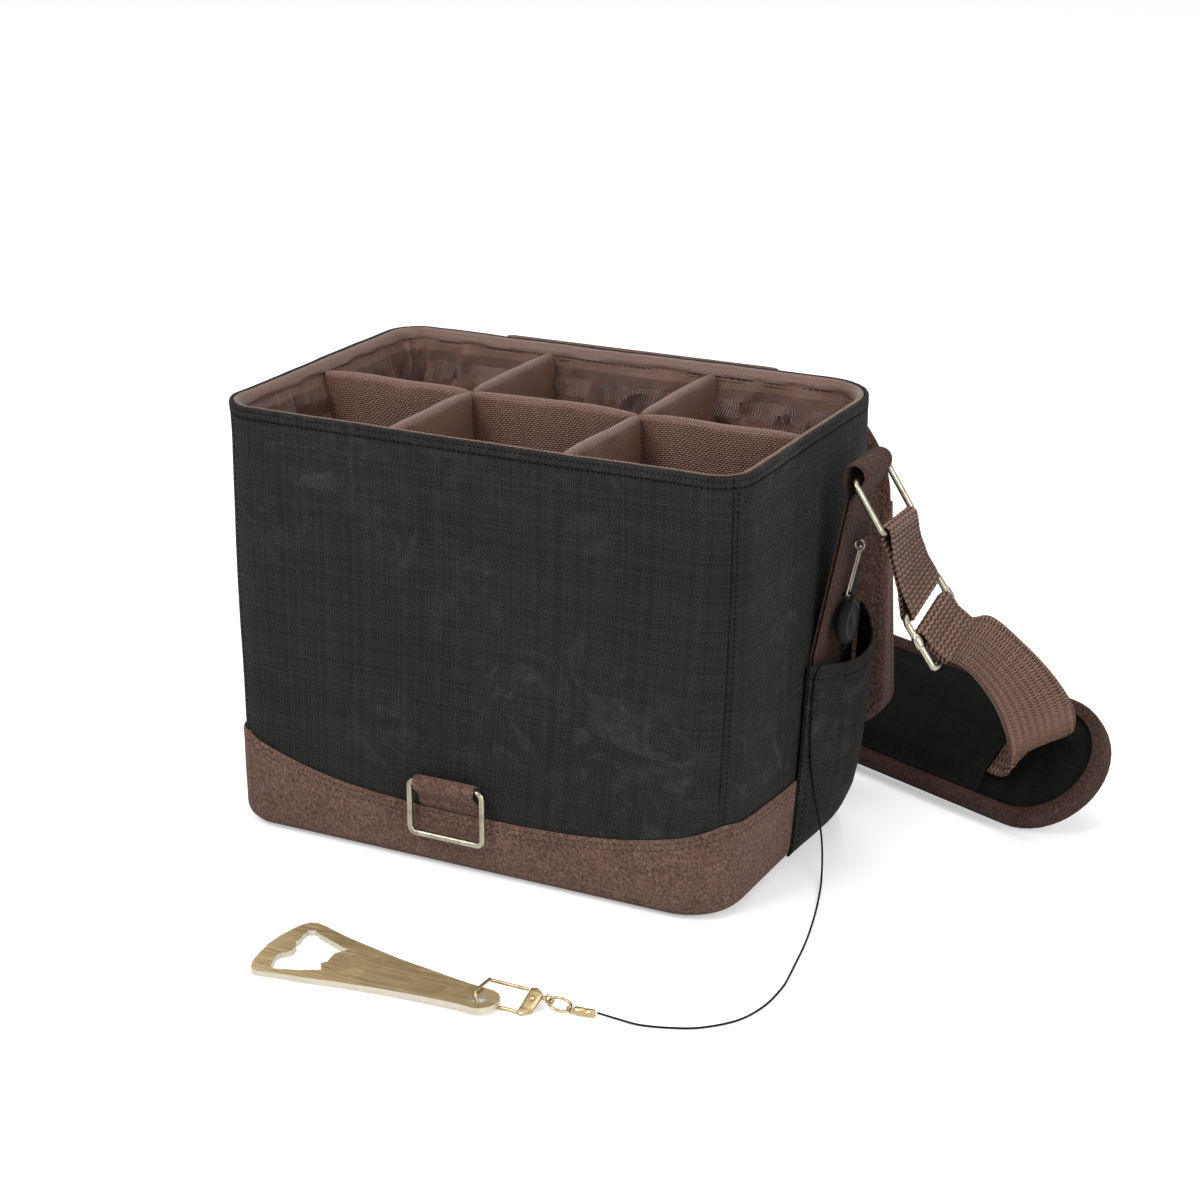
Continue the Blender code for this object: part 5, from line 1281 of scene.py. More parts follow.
padForm = {
    "under": (
        (0.034, 0.0), (0.02, 0.0), (0.008, 0.0001), (0.0045, 0.0003), (0.0012, 0.0006), (0.0, 0.0022), (0.0, 0.0055),
        (0.0012, 0.0074),
    ),
    "faceInsets": (0.0045, 0.0062, 0.009, 0.013, 0.018, 0.024, 0.030, 0.035), "edgeDrop": 0.0010, "faceDrop": 0.0004,
    "edgeInset": 0.005, "groove": 0.0006, "grooveAt": 0.0062, "grooveHalf": 0.0018, "crown": 0.0007, "crownFrom": (0.004, 0.02),
    "lump": 0.0002, "lumpScale": 70, "lumpFrom": (0.004, 0.01),
}  # insets from the outline, with heights for the under side; the face is grooved beside the binding and crowned


def padFace(a, u, inset):
    high = padSize["thick"] - (padForm["edgeDrop"] if inset < padForm["edgeInset"] else padForm["faceDrop"])
    high -= padForm["groove"] * math.exp(-((inset - padForm["grooveAt"]) / padForm["grooveHalf"]) ** 2)
    high += padForm["crown"] * ease(inset, *padForm["crownFrom"])
    return high + padForm["lump"] * ruffle(a, u, 1.0, padForm["lumpScale"]) * ease(inset, *padForm["lumpFrom"])


padLoops = [[padSpot(a, u, out) for a, u in padOutline(inset)] for inset, out in padForm["under"]]
for inset in padForm["faceInsets"]:
    padLoops.append([padSpot(a, u, padFace(a, u, inset)) for a, u in padOutline(inset)])
padBody = sweep("padBody", padLoops, padCloth, body="shoulder_pad", slotName="canvas", replaced=("pad_core",), sharp=60)

# binding: round the pad's edge, lapped over its face and tucked under it
padTop, padHalf, lap = padSize["thick"], padSize["thick"] / 2, padSize["lap"]
bindProfile = []
for angle in range(0, 181, 15):
    around = math.radians(angle)
    bindProfile.append((-bindReach * math.sin(around) ** 0.5, padHalf - (padHalf + bindReach) * math.cos(around)))
bindProfile += [(lap * share, padTop + bindReach - 0.0002 * share) for share in (0.35, 0.7, 0.95)]
bindProfile += [
    (lap, padTop + 0.0009), (lap, padTop + skin), (0.002, padTop + skin), (-skin, padTop - 0.001), (-skin, 0.001), (0.002, -skin),
    (lap, -skin), (lap, -0.0010), (lap * 0.5, -bindReach),
]
rings = [padOutline(inset) for inset, out in bindProfile]
bindRows = []
for i in range(len(rings[0])):
    row = []
    for k, (inset, out) in enumerate(bindProfile):
        a, u = rings[k][i]
        row.append(padSpot(a, u, out) + padOut * 0.00015 * ruffle(a, u, out * 4, 90))
    bindRows.append(row)
# the binding's suede carries painted shade
sweep("padBinding", bindRows, shadedSuede, closed=True, body="shoulder_pad", slotName="suede", replaced=("pad_binding",))
bindStitch = [(padSpot(a, u, padTop + bindReach - 0.0003), padOut) for a, u in padOutline(lap * 0.82)]
stitchRows("padStitches", [bindStitch + bindStitch[:1]], brownThread, "shoulder_pad")

# canvas sleeve for the webbing
ribRoom = 0.00045
runLow = padTop + bindReach + ribRoom
runMiddle = runLow + gear["strapThick"] / 2
runFirst, runLast = [(padSize["wide"] + side * gear["strapWide"]) / 2 for side in (-1, 1)]
sleeveEdge = lap + skin
sleeveOver = runLow + gear["strapThick"] + ribRoom


def sleeveProfile(grow):
    # outer face of the sleeve across the pad: flat hems and a low arch over the webbing
    points, low = [], padTop + skin
    archOut, archIn = padSize["archOut"], padSize["archIn"]
    for k in range(padSize["sleeveAcross"] + 1):
        u = sleeveEdge + (padSize["wide"] - 2 * sleeveEdge) * k / padSize["sleeveAcross"]
        over = ease(u, runFirst - archOut, runFirst - archIn) * (1 - ease(u, runLast + archIn, runLast + archOut))
        points.append((u, low + (sleeveOver - low) * over + grow))
    return points


def sleeveSpot(s, u, out):
    return padSpot(s, u, out + padSize["wrinkle"] * ruffle(s, u, 3.0, padSize["wrinkleScale"]))


sleeveRows = []
sleeveStart = padSize["hem"] - padSize["sleeve"]
for k in range(padSize["sleeveSteps"] + 1):
    s = sleeveStart + padSize["sleeve"] * k / padSize["sleeveSteps"]
    inner = [padSpot(s, u, out) for u, out in reversed(sleeveProfile(0.0))]
    sleeveRows.append([sleeveSpot(s, u, out) for u, out in sleeveProfile(padSize["cloth"])] + inner)
sweep("padSleeve", sleeveRows, padCloth, body="shoulder_pad", slotName="canvas", replaced=("pad_sleeve",))
sleeveHems = []
for s in (padSize["hem"] - 0.004, sleeveStart + 0.004):
    sleeveHems.append([(padSpot(s, u, out + 0.0001), padOut) for u, out in sleeveProfile(padSize["cloth"])])
stitchRows("sleeveStitches", sleeveHems, darkThread, "shoulder_pad")
print("stage: shoulder pad")

# webbing through the pad, up to the right slider, and round behind to the left one
padLeft = padSize["tip"] - padSize["long"] - padSize["exit"]
runSplit = padSize["runSplit"]
# its two edges, from the slider over the bend to the pad's sleeve
rightRoute = {
    "near": (
        (0.2128, 0.0150, 0.1125), (0.2170, 0.0340, 0.0955), (0.2184, 0.0540, 0.0759), (0.2176, 0.0740, 0.0537),
        (0.2120, 0.0960, 0.0335),
    ),
    "far": (
        (0.2149, 0.0483, 0.1282), (0.2260, 0.0653, 0.1108), (0.2365, 0.0810, 0.0914), (0.2438, 0.0950, 0.0713),
        (0.2405, 0.1150, 0.0520),
    ),
    "overlap": 0.0012, "steps": 420,
}
# its middle line on the floor, then places and edge shares where it climbs to the left slider
leftRoute = {
    "floor": (
        (0.0520, 0.1980), (0.0250, 0.2450), (0.0150, 0.2850), (-0.0150, 0.3180), (-0.0650, 0.3230),
        (-0.1250, 0.2960), (-0.1720, 0.2350), (-0.1880, 0.1700), (-0.1860, 0.1200), (-0.1800, 0.0800),
    ),
    "rise": ((-0.1845, 0.0470, 0.0240, 0.45), (-0.1790, 0.0300, 0.0620, 0.48)),
    "leave": 0.0108, "above": 0.0004, "floorSteps": 26, "overlap": 0.00075, "steps": 1200,
}


def edgePair(first, last, count):
    return list(zip(smoothPath(first, count), smoothPath(last, count)))


through = edgePair(*([padSpot(s, u, runMiddle) for s in (runSplit, padLeft)] for u in (runFirst, runLast)), 240)
strap("padWebbing", through, gear["strapThick"], webCloth, lift=ribLift, slotName="webbing", replaced=("webbing_pad",))
endWay, endPoint = rightHang[6:]
stepOn = Vector((endWay[0], 0, endWay[1])) * -rightRoute["overlap"] + Vector((-endWay[1], 0, endWay[0])) * halfPair
endTwist = skewAt(endPoint[1]) * gear["strapWide"] / 2
rightEdges = []
for side, word, u, share in ((-1, "near", runFirst, 0.2), (1, "far", runLast, 0.9)):
    begin = Vector((endPoint[0], gear["centre"] + side * gear["strapWide"] / 2, endPoint[1] + side * endTwist)) + stepOn
    inSleeve = [padSpot(s, u, runMiddle) for s in (padSize["hem"] + u * 0.5, padSize["hem"] * share, runSplit + skin)]
    rightEdges.append([begin, *rightRoute[word], *inSleeve])
rightRun = strap(
    "rightWebbing", edgePair(*rightEdges, rightRoute["steps"]), gear["strapThick"], webCloth, lift=ribLift, steps=26, body=None,
    slotName="webbing", replaced=("webbing_right",),
)
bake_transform(rightRun)

floorHeight = gear["strapThick"] / 2 + leftRoute["above"]
floorRoute = smoothPath([(x, y, floorHeight) for x, y in leftRoute["floor"]], leftRoute["floorSteps"])
innerEdge, outerEdge = [], []
for i, spot in enumerate(floorRoute):
    along = (floorRoute[min(i + 1, len(floorRoute) - 1)] - floorRoute[max(i - 1, 0)]).normalized()
    square = Vector((along[1], -along[0], 0)) * gear["strapWide"] / 2
    innerEdge.append(spot - square)
    outerEdge.append(spot + square)
lowExit, highExit = [padSpot(padLeft - skin, u, runMiddle) for u in (runFirst, runLast)]
edgeA = [lowExit, lowExit - padAlong * leftRoute["leave"]] + innerEdge[3:-3:3]
edgeB = [highExit, highExit - padAlong * leftRoute["leave"]] + outerEdge[3:-3:3]
for x, y, z, share in leftRoute["rise"]:
    edgeA.append(Vector((x, y + gear["strapWide"] * share, z)))
    edgeB.append(Vector((x, y - gear["strapWide"] * (1 - share), z)))
leftWay, leftEnd = leftHang[6:]
stepLeft = Vector((-leftWay[0], 0, leftWay[1])) * leftRoute["overlap"] + Vector((leftWay[1], 0, -leftWay[0])) * halfPair
edgeA.append(spaced(-1, leftEnd, gear["centre"] + gear["strapWide"] / 2) + stepLeft)
edgeB.append(spaced(-1, leftEnd, gear["centre"] - gear["strapWide"] / 2) + stepLeft)
leftEdges = []
for a, b in edgePair(edgeA, edgeB, leftRoute["steps"]):
    leftEdges.append(tuple(Vector((spot.x, spot.y, max(spot.z, floorHeight))) for spot in (a, b)))
leftRun = strap(
    "leftWebbing", leftEdges, gear["strapThick"], webCloth, lift=ribLift, steps=12, body=None, slotName="webbing",
    replaced=("webbing_left",),
)
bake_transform(leftRun)
print("stage: webbing")

# lid hanging open behind
lid = {
    "gap": 0.0006, "cover": 0.0012, "foam": 0.0025, "lining": 0.0007, "start": 0.0058, "half": 0.1435, "reach": 0.1890,
    "backCorner": 0.060, "frontCorner": 0.016, "cornerSteps": 12, "sideSteps": 14, "hingeZ": 0.2294,
}
lidMiddle = (lid["start"] + lid["reach"]) / 2
lidFace = bag["rimDeep"] + lid["gap"]


def lidSpot(x, reach, deep):
    # reach runs from the hinge to the lid's front edge, deep from its outer face inward
    return Vector((x, lidFace + deep, lid["hingeZ"] - reach))


def lidOutline(inset):
    # round the lid from its back left corner: each corner's arc, then the straight after it
    wide, front, back = lid["half"] - inset, lid["reach"] - inset, lid["start"] + inset
    rb, rf = lid["backCorner"] - inset, lid["frontCorner"] - inset
    arcs = []
    for centreX, centreR, radius, turnFrom in (
        (rb - wide, back + rb, rb, 270), (rf - wide, front - rf, rf, 180), (wide - rf, front - rf, rf, 90),
        (wide - rb, back + rb, rb, 0),
    ):
        turns = [math.radians(turnFrom - 90 * k / lid["cornerSteps"]) for k in range(lid["cornerSteps"] + 1)]
        arcs.append([(centreX + radius * math.cos(turn), centreR + radius * math.sin(turn)) for turn in turns])
    points = []
    for arc, after in zip(arcs, arcs[1:] + arcs[:1]):
        (x, r), (nextX, nextR) = arc[-1], after[0]
        shares = [k / lid["sideSteps"] for k in range(1, lid["sideSteps"])]
        points += arc + [(x + (nextX - x) * share, r + (nextR - r) * share) for share in shares]
    return points


def lidLoop(inset, deep, most, added=0.0, wave=0.0, seed=2.0, scale=60):
    # the outline drawn in; past the most that its corners take, it shrinks to the lid's middle
    pull = max(0.0, inset - most) / lidForm["across"]
    return [
        lidSpot(x * (1 - pull), r + (lidMiddle - r) * pull, deep + wave * ruffle(x, r, seed, scale))
        for x, r in lidOutline(added + min(inset, most))
    ]


liningIn = lid["cover"] + skin
liningHigh = liningIn + lid["foam"] + skin + lid["lining"]
lidForm = {
    "across": 0.12, "coverMost": 0.0159, "faceWave": 0.0002, "rowInset": 0.0042,
    "coverEdge": ((0.12, 0.0011), (0.004, 0.0011), (0.0012, 0.0011), (0.0003, 0.0010), (0.0, 0.0007), (0.0004, 0.0002)),
    "coverFace": (0.0014, 0.006, 0.012, 0.03, 0.06, 0.12), "liningMost": 0.0145, "liningEdge": (
        (0.12, liningIn), (0.004, liningIn), (0.0002, 0.0022), (0.0, 0.0036), (0.0010, liningHigh - 0.0006),
        (0.004, liningHigh - 0.0002),
    ),
    "liningFace": (0.04, 0.1, 0.18, 0.28, 0.4, 0.55, 0.72, 0.9), "faceInset": 0.008, "puff": 0.0005, "puffScale": 34,
    "crease": 0.0004, "creaseScale": 70,
}
coverLoops = [lidLoop(inset, deep, lidForm["coverMost"]) for inset, deep in lidForm["coverEdge"]]
coverLoops += [lidLoop(inset, 0.0, lidForm["coverMost"], wave=lidForm["faceWave"]) for inset in lidForm["coverFace"]]
sweep("lidCover", coverLoops, suede, body="lid", slotName="suede", replaced=("lid_cover",))
coverStitch = [(lidSpot(x, r, 0.0), (0, -1, 0)) for x, r in lidOutline(lidForm["rowInset"])]
stitchRows("lidStitches", [coverStitch + coverStitch[:1]], brownThread, "lid")

liningLoops = [lidLoop(inset, deep, lidForm["liningMost"], liningIn) for inset, deep in lidForm["liningEdge"]]
for pull in lidForm["liningFace"]:
    loop = []
    for x, r in lidOutline(liningIn + lidForm["faceInset"]):
        px, pr = x * (1 - pull), r + (lidMiddle - r) * pull
        puff = lidForm["puff"] * ruffle(px, pr, 5.0, lidForm["puffScale"])
        puff -= lidForm["crease"] * abs(ruffle(px, pr, 9.0, lidForm["creaseScale"]))
        loop.append(lidSpot(px, pr, liningHigh + puff))
    liningLoops.append(loop)
lidPad = sweep(
    "lidLining", liningLoops, satinLining, body="lid", slotName="lining", replaced=("lid_lining", "lid_foam"), sharp=60,
)

# skirt round the lid's front and sides, shallow where it starts at the back corners
skirt = {
    "deep": 0.016, "endDeep": 0.002, "root": 0.0015, "fullAt": 0.0098, "lip": 0.0006, "wave": 0.00012, "waveScale": 80,
    "rowFrom": 0.4, "rowUp": 0.0035,
}
skirtOuter, skirtInner = lidOutline(0.0), lidOutline(lid["cover"])
firstRow, lastRow = lid["cornerSteps"], (lid["cornerSteps"] + lid["sideSteps"]) * 3 + 1
backReach = skirtOuter[firstRow][1]
skirtRows, skirtStitch = [], []
for (x, r), (innerX, innerR) in zip(skirtOuter[firstRow:lastRow], skirtInner[firstRow:lastRow]):
    share = min(1, (r - backReach) / (lid["reach"] - skirt["fullAt"] - backReach))
    deep = skirt["root"] + skirt["endDeep"] + (skirt["deep"] - skirt["endDeep"]) * share
    places = [(x, r, down) for down in (skirt["root"], deep * 0.35, deep * 0.7, deep - skirt["lip"], deep)]
    places += [(innerX, innerR, down) for down in (deep, deep - skirt["lip"], deep * 0.6, skirt["root"])]
    row = []
    for placeX, placeR, down in places:
        spot = lidSpot(placeX, placeR, down)
        spot.z += skirt["wave"] * ruffle(placeX, placeR, down * 5, skirt["waveScale"])
        row.append(spot)
    skirtRows.append(row)
    if share > skirt["rowFrom"]:
        skirtStitch.append((lidSpot(x, r, deep - skirt["rowUp"]), (x - innerX, 0, innerR - r)))
sweep("lidSkirt", skirtRows, suede, body="lid", slotName="suede", replaced=("lid_skirt",))
stitchRows("skirtStitches", [skirtStitch], brownThread, "lid")

hingeStrip = {
    "route": ((0.0926, 0.2243), (0.0928, 0.2248), (0.0942, 0.2252), (0.0960, 0.2250), (0.0971, 0.2244), (0.0973, 0.2235)),
    "half": 0.078, "thick": 0.0008, "steps": 24,
}
hingePath = smoothPath([(0, y, z) for y, z in hingeStrip["route"]], hingeStrip["steps"])
halfHinge = Vector((hingeStrip["half"], 0, 0))
hinge = strap(
    "hingeCloth", [(p - halfHinge, p + halfHinge) for p in hingePath], hingeStrip["thick"], suede, steps=60, edgeRound=0.01,
    body=None, slotName="suede", replaced=("hinge_strip",),
)
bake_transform(hinge)
print("stage: lid")

# closure strap and its hook
closure = {
    "wide": 0.028, "thick": 0.0013, "swingZ": 0.0335, "foldZ": 0.0012, "patchTop": 0.0664, "gap": 0.00095, "long": 0.150,
    "rowShares": (0.09, 0.91), "patchRow": ((-0.011, 0.037), (-0.011, 0.064), (0.011, 0.064), (0.011, 0.037), (-0.011, 0.064)),
    "hook": (
        (-0.0078, 0.0035), (-0.0078, 0.0012), (0.0078, 0.0012), (0.0080, 0.0100), (0.0066, 0.0165), (0.0, 0.0198),
        (-0.0062, 0.0170), (-0.0072, 0.0122),
    ),
    "hookZ": 0.00135, "hookWire": 0.00078,
}
closureY = lidFace - skin - closure["thick"] / 2
halfClosure = Vector((closure["wide"] / 2, 0, 0))


def closurePart(name, points, body, node, count):
    # one length of the strap between two places of (y, z); gives its edges
    line = [Vector((frontGear["centre"], y, z)) for y, z in points]
    edges = [(p - halfClosure, p + halfClosure) for p in evenly(line, count)]
    strap(
        name, edges, closure["thick"], suede, lift=suedeLift, steps=18, edgeRound=0.06, body=body, slotName="suede",
        replaced=(node,),
    )
    return edges


swingZ, foldZ, lowerEnd = closure["swingZ"], closure["foldZ"], closureY + closure["gap"] + closure["long"]
closurePart("closurePatch", ((closureY, swingZ + closure["gap"]), (closureY, closure["patchTop"])), "lid", "closure_patch", 24)
closurePart(
    "closureUpper", ((closureY, swingZ + 0.0004), (closureY, foldZ + closure["gap"])), "closure_upper", "closure_upper", 24,
)
lowerEdges = closurePart("closureLower", ((closureY - 0.0004, foldZ), (lowerEnd, foldZ)), "closure_lower", "closure_lower", 110)
topLift = Vector((0, 0, closure["thick"] / 2))
rows = [[(a.lerp(b, share) + topLift, (0, 0, 1)) for a, b in lowerEdges[3:-2]] for share in closure["rowShares"]]
stitchRows("closureStitches", rows, brownThread, "closure_lower")
patchFace = [Vector((frontGear["centre"] + x, closureY - closure["thick"] / 2, z)) for x, z in closure["patchRow"]]
stitchRows("patchStitches", [[(p, (0, -1, 0)) for p in evenly(patchFace, 90)]], brownThread, "lid")
hookRoute = [(frontGear["centre"] + x, lowerEnd + skin + y, closure["hookZ"]) for x, y in closure["hook"]]
wire(
    "closureHook", smoothPath(hookRoute, 60), closure["hookWire"], nickel, body="closure_lower", slotName="nickel",
    replaced=("closure_hook",),
)

# reel hung inside the pocket's mouth
reel = {"radius": 0.011, "thick": 0.006, "z": 0.125, "reach": 0.0118, "eyeZ": 0.165, "eye": 0.0024, "wire": 0.0006}
reelX = halfLong(reel["z"]) + reel["reach"]


def circle(centre, radius, first, second, steps=32):
    turns = [2 * math.pi * k / steps for k in range(steps)]
    return [Vector(centre) + Vector(first) * radius * math.cos(turn) + Vector(second) * radius * math.sin(turn) for turn in turns]


def turned(name, centre, axis, profile, material, steps=36, **more):
    # profile of (along, radius) pairs turned round an axis
    axis = Vector(axis).normalized()
    first = axis.orthogonal().normalized()
    second = axis.cross(first)
    return sweep(name, [circle(Vector(centre) + axis * a, r, first, second, steps) for a, r in profile], material, **more)


# rim of two shells with a parting groove, a sunk face and a small boss
reelHalf = reel["thick"] / 2
reelProfile = [
    (-reelHalf, 0.0062), (-reelHalf, 0.0088), (0.0005 - reelHalf, 0.0100), (0.0014 - reelHalf, 0.0107), (-0.0002, 0.0110),
    (0, 0.0108),
    (0.0002, 0.0110), (reelHalf - 0.0014, 0.0107), (reelHalf - 0.0005, 0.0100), (reelHalf, 0.0088), (reelHalf - 0.0005, 0.0080),
    (reelHalf - 0.0005, 0.0020), (reelHalf - 0.0001, 0.0014),
]
# the reel's black carries painted shade
turned(
    "reelCase", (reelX, gear["centre"], reel["z"]), (1, 0, 0), reelProfile, shadedBlackPlastic, slotName="black",
    replaced=("reel_case",),
)
lugZ, lugWire = reel["z"] + reel["radius"] + reel["eye"] * 0.6, reel["wire"] * 1.3
lugLine = circle((reelX, gear["centre"], lugZ), reel["eye"], (0, 0, 1), (1, 0, 0))
wire("reelLug", lugLine, lugWire, shadedBlackPlastic, (0, 1, 0), True, slotName="black")

# eyelet on the tab's face, and the link from it to the reel's lug
start, mouth, loop, neck, lean = tabPlan(rightHang[0], halfLong)
tabFace = mouth + lean[0] * (reel["eyeZ"] - gear["tabMouth"]) / lean[1] + halfPair + gear["strapThick"] / 2 / lean[1]
eyeX = tabFace + skin + reel["eye"] + reel["wire"]
eyeLine = circle((eyeX, gear["centre"], reel["eyeZ"]), reel["eye"], (1, 0, 0), (0, 0, 1))
wire("tabEyelet", eyeLine, reel["wire"], nickel, (0, 1, 0), True, slotName="nickel", replaced=("tab_eyelet",))
linkHalf = reel["wire"] * 3
linkHigh = reel["eyeZ"] - reel["eye"] + reel["wire"] * 2 + skin - linkHalf
linkLow = lugZ + reel["eye"] - reel["wire"] - lugWire - skin + linkHalf
linkLine = []
for x, z, turnFrom in ((eyeX, linkHigh, 0), (reelX, linkLow, math.pi)):
    for turn in (turnFrom + math.pi * k / 12 for k in range(13)):
        linkLine.append(Vector((x, gear["centre"] + linkHalf * math.cos(turn), z + linkHalf * math.sin(turn))))
wire("hangerLink", linkLine, reel["wire"], nickel, (1, 0, 0), True, slotName="nickel", replaced=("hanger_link",))
cadNodes["reel_spool"].data.materials.clear()
cadNodes["reel_spool"].data.materials.append(shadedBlackPlastic)
print("stage: closure and reel")

# cord from the ferrule over the floor, up the pocket and into the reel
cordRoute = (
    (0.1186, -0.1855, 0.0023), (0.1290, -0.1846, 0.0012), (0.1390, -0.1838, 0.0006), (0.1520, -0.1800, 0.0006),
    (0.1640, -0.1735, 0.0006), (0.1755, -0.1602, 0.0006), (0.1806, -0.1430, 0.0006), (0.1810, -0.1240, 0.0006),
    (0.1794, -0.1120, 0.0006), (0.1768, -0.0970, 0.0006), (0.1741, -0.0822, 0.0006), (0.1704, -0.0659, 0.0006),
    (0.1649, -0.0453, 0.0006), (0.1583, -0.0240, 0.0008), (0.1546, -0.0135, 0.0024), (0.1518, -0.0062, 0.0070),
    (0.1497, -0.0022, 0.0150), (0.1472, 0.0006, 0.0235), (0.1443, 0.0030, 0.0305), (0.1430, 0.0034, 0.0360),
    (0.1426, 0.0010, 0.0460), (0.1421, -0.0012, 0.0575), (0.1420, -0.0024, 0.0685), (0.1422, -0.0028, 0.0790),
    (0.1426, -0.0028, 0.0870), (0.1430, -0.0028, 0.0950), (0.1436, -0.0026, 0.1012), (0.1449, -0.0012, 0.1062),
    (0.1463, 0.0012, 0.1080), (0.1469, 0.0040, 0.1079), (0.1476, 0.0080, 0.1076), (0.1490, 0.0135, 0.1084),
    (0.1502, 0.0183, 0.1112), (0.1503, 0.0190, 0.1152),
)
cordSkinRadius = 0.0005
cordPoints = smoothPath(cordRoute, 260)
cordCurve = bpy.data.curves.new("retractCord", "CURVE")
cordCurve.dimensions = "3D"
cordLine = cordCurve.splines.new("POLY")
cordLine.points.add(len(cordPoints) - 1)
for spot, point in zip(cordLine.points, cordPoints):
    spot.co = (*point, 1.0)
cordCurve.bevel_depth = cordSkinRadius
cordCurve.bevel_resolution = 3
cordCurve.use_fill_caps = True
cordCurve.materials.append(cordSkin)
cord = bpy.data.objects.new("retractCord", cordCurve)
bpy.context.scene.collection.objects.link(cord)
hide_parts("retract_cord")
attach(cord, "root")

# opener and its small chain
tool = {"holeX": 0.0673, "holeY": -0.2009, "thick": 0.0026, "edge": 0.00022}
hook = {
    "wire": 0.0008, "bodyX": 0.0854, "bodyLong": 0.0072, "legY": -0.1985, "gateY": -0.1862, "bodyHalf": 0.00096,
    "bodyLoops": ((0.5, -0.9), (0.86, -0.96), (0.96, -0.75), (1.0, -0.3), (1.0, 0.3), (0.96, 0.75), (0.86, 0.96), (0.5, 1.0)),
    "rivet": ((0, 0.0013), (0.0005, 0.0013), (0.0008, 0.0010), (0.0010, 0.0005)), "rivetOut": 0.0010, "rivetShift": 0.0016,
}
swivel = {
    "y": -0.1886, "eye": 0.0019, "wire": 0.0006, "stemLong": 0.0012,
    "stem": ((0, 0.0009), (0.0003, 0.00105), (0.0008, 0.0010), (0.0018, 0.0007)),
}
ring = {"radius": 0.0050, "wire": 0.00065}
ferrule = {
    "z": 0.0022, "heading": 6.7, "eye": 0.00142, "wire": 0.00047, "hubFrom": 0.0016, "hub": (
        (0, 0.0011), (0.0006, 0.0017), (0.0014, 0.0019), (0.0052, 0.0019), (0.0058, 0.0016), (0.0064, 0.0019), (0.0092, 0.0019),
        (0.0101, 0.0014),
    ),
}
openerNode = cadNodes["opener"]
openerNode.data.materials.clear()
openerNode.data.materials.append(brushedBrass)
openerNode.data.shade_smooth()
openerNode.data.set_sharp_from_angle(angle=math.radians(40))
bevel = openerNode.modifiers.new("softEdge", "BEVEL")
bevel.width = tool["edge"]
bevel.segments = 2
bevel.limit_method = "ANGLE"
bevel.angle_limit = math.radians(50)

# snap hook: its frame leads from the body through the opener's hole and back over it to the gate
holeX, holeY, hookWire = tool["holeX"], tool["holeY"], hook["wire"]
bodyX, legY, gateY = hook["bodyX"], hook["legY"], hook["gateY"]
tailLift = 2 * hookWire + skin
legZ = hookWire + skin / 2
gateZ = tailLift + tool["thick"] + hookWire + skin * 2
slope = math.atan2(gateZ - legZ, gateY - legY)


def hookHeight(y):
    return legZ + (y - legY) * math.tan(slope)


tipX = holeX - 0.003
hookLine = [
    (bodyX - skin, legY, legZ), (holeX + 0.0095, legY - 0.0003, legZ), (holeX + 0.0016, holeY, legZ),
    (holeX - 0.0003, holeY - 0.0003, legZ + hookWire * 1.2), (holeX - 0.0016, holeY, tailLift + tool["thick"] / 2),
    (holeX - 0.0020, holeY + 0.0006, tailLift + tool["thick"] + 0.0003), (tipX, holeY + 0.0028, gateZ),
    (tipX, holeY + 0.0080, gateZ + 0.0003), (tipX, gateY + hookWire, gateZ),
]
wire(
    "hookFrame", smoothPath(hookLine, 70), hookWire, brass, (0.31, 0.2, 0.93), body="hook", slotName="brass",
    replaced=("hook_frame",),
)
gateLine = [(tipX + hookWire + skin, gateY, gateZ), (bodyX - skin - hookWire, gateY, gateZ)]
wire("hookGate", evenly(gateLine, 12), hookWire, brass, body="hook_gate", slotName="brass", replaced=("hook_gate",))

# flat body of the hook, on the slope from its leg up to the gate
bodyEnd, swivelY = bodyX + hook["bodyLong"], swivel["y"]
bodyLine = [
    (bodyX, gateY + 0.0008), (bodyX, legY - 0.0008), (bodyX + 0.0022, legY - 0.0016), (bodyEnd - 0.0008, legY + 0.0016),
    (bodyEnd, swivelY - 0.0015), (bodyEnd, swivelY + 0.0015), (bodyX + 0.0029, gateY + 0.0016),
]
bodyFine = evenly([(x, y, 0) for x, y in bodyLine], 56, True)
bodyCentre = Vector([sum(values) / len(bodyLine) for values in zip(*bodyLine)]).to_3d()
bodyRows = []
for share, level in hook["bodyLoops"]:
    loop = [bodyCentre.lerp(spot, share) for spot in bodyFine]
    for spot in loop:
        spot.z = max(hookHeight(spot.y) + level * hook["bodyHalf"], skin / 2)
    bodyRows.append(loop)
sweep("hookBody", bodyRows, brass, body="hook", slotName="brass", replaced=("hook_body",))
tiltUp = Vector((0, -math.sin(slope), math.cos(slope)))
rivetY = (gateY + legY) / 2 + hook["rivetShift"]
rivetAt = Vector((bodyX + hook["bodyLong"] / 2, rivetY, hookHeight(rivetY))) + tiltUp * hook["rivetOut"]
turned("hookRivet", rivetAt, tiltUp, hook["rivet"], brass, body="hook", slotName="brass", replaced=("hook_rivet",), steps=20)

# swivel eye, oval ring and ferrule, each threaded through the one before
swivelZ, eyeReach = hookHeight(swivelY), swivel["eye"]
eyeCentre = Vector((bodyEnd + swivel["wire"] + eyeReach + swivel["stemLong"], swivelY, swivelZ))
eyeLine = circle(eyeCentre, eyeReach, (1, 0, 0), (0, 0, 1), 28)
wire("swivelEye", eyeLine, swivel["wire"], brass, (0, 1, 0), True, body="swivel_eye", slotName="brass", replaced=("swivel_eye",))
stemAt = (bodyEnd + skin, swivelY, swivelZ)
turned("swivelStem", stemAt, (1, 0, 0), swivel["stem"], brass, body="swivel_eye", slotName="brass", steps=18)
ringStart = Vector((eyeCentre.x + eyeReach - swivel["wire"] - ring["wire"] - skin, swivelY, swivelZ))
flatReach = math.sqrt((2 * ring["radius"]) ** 2 - (swivelZ - ferrule["z"]) ** 2)
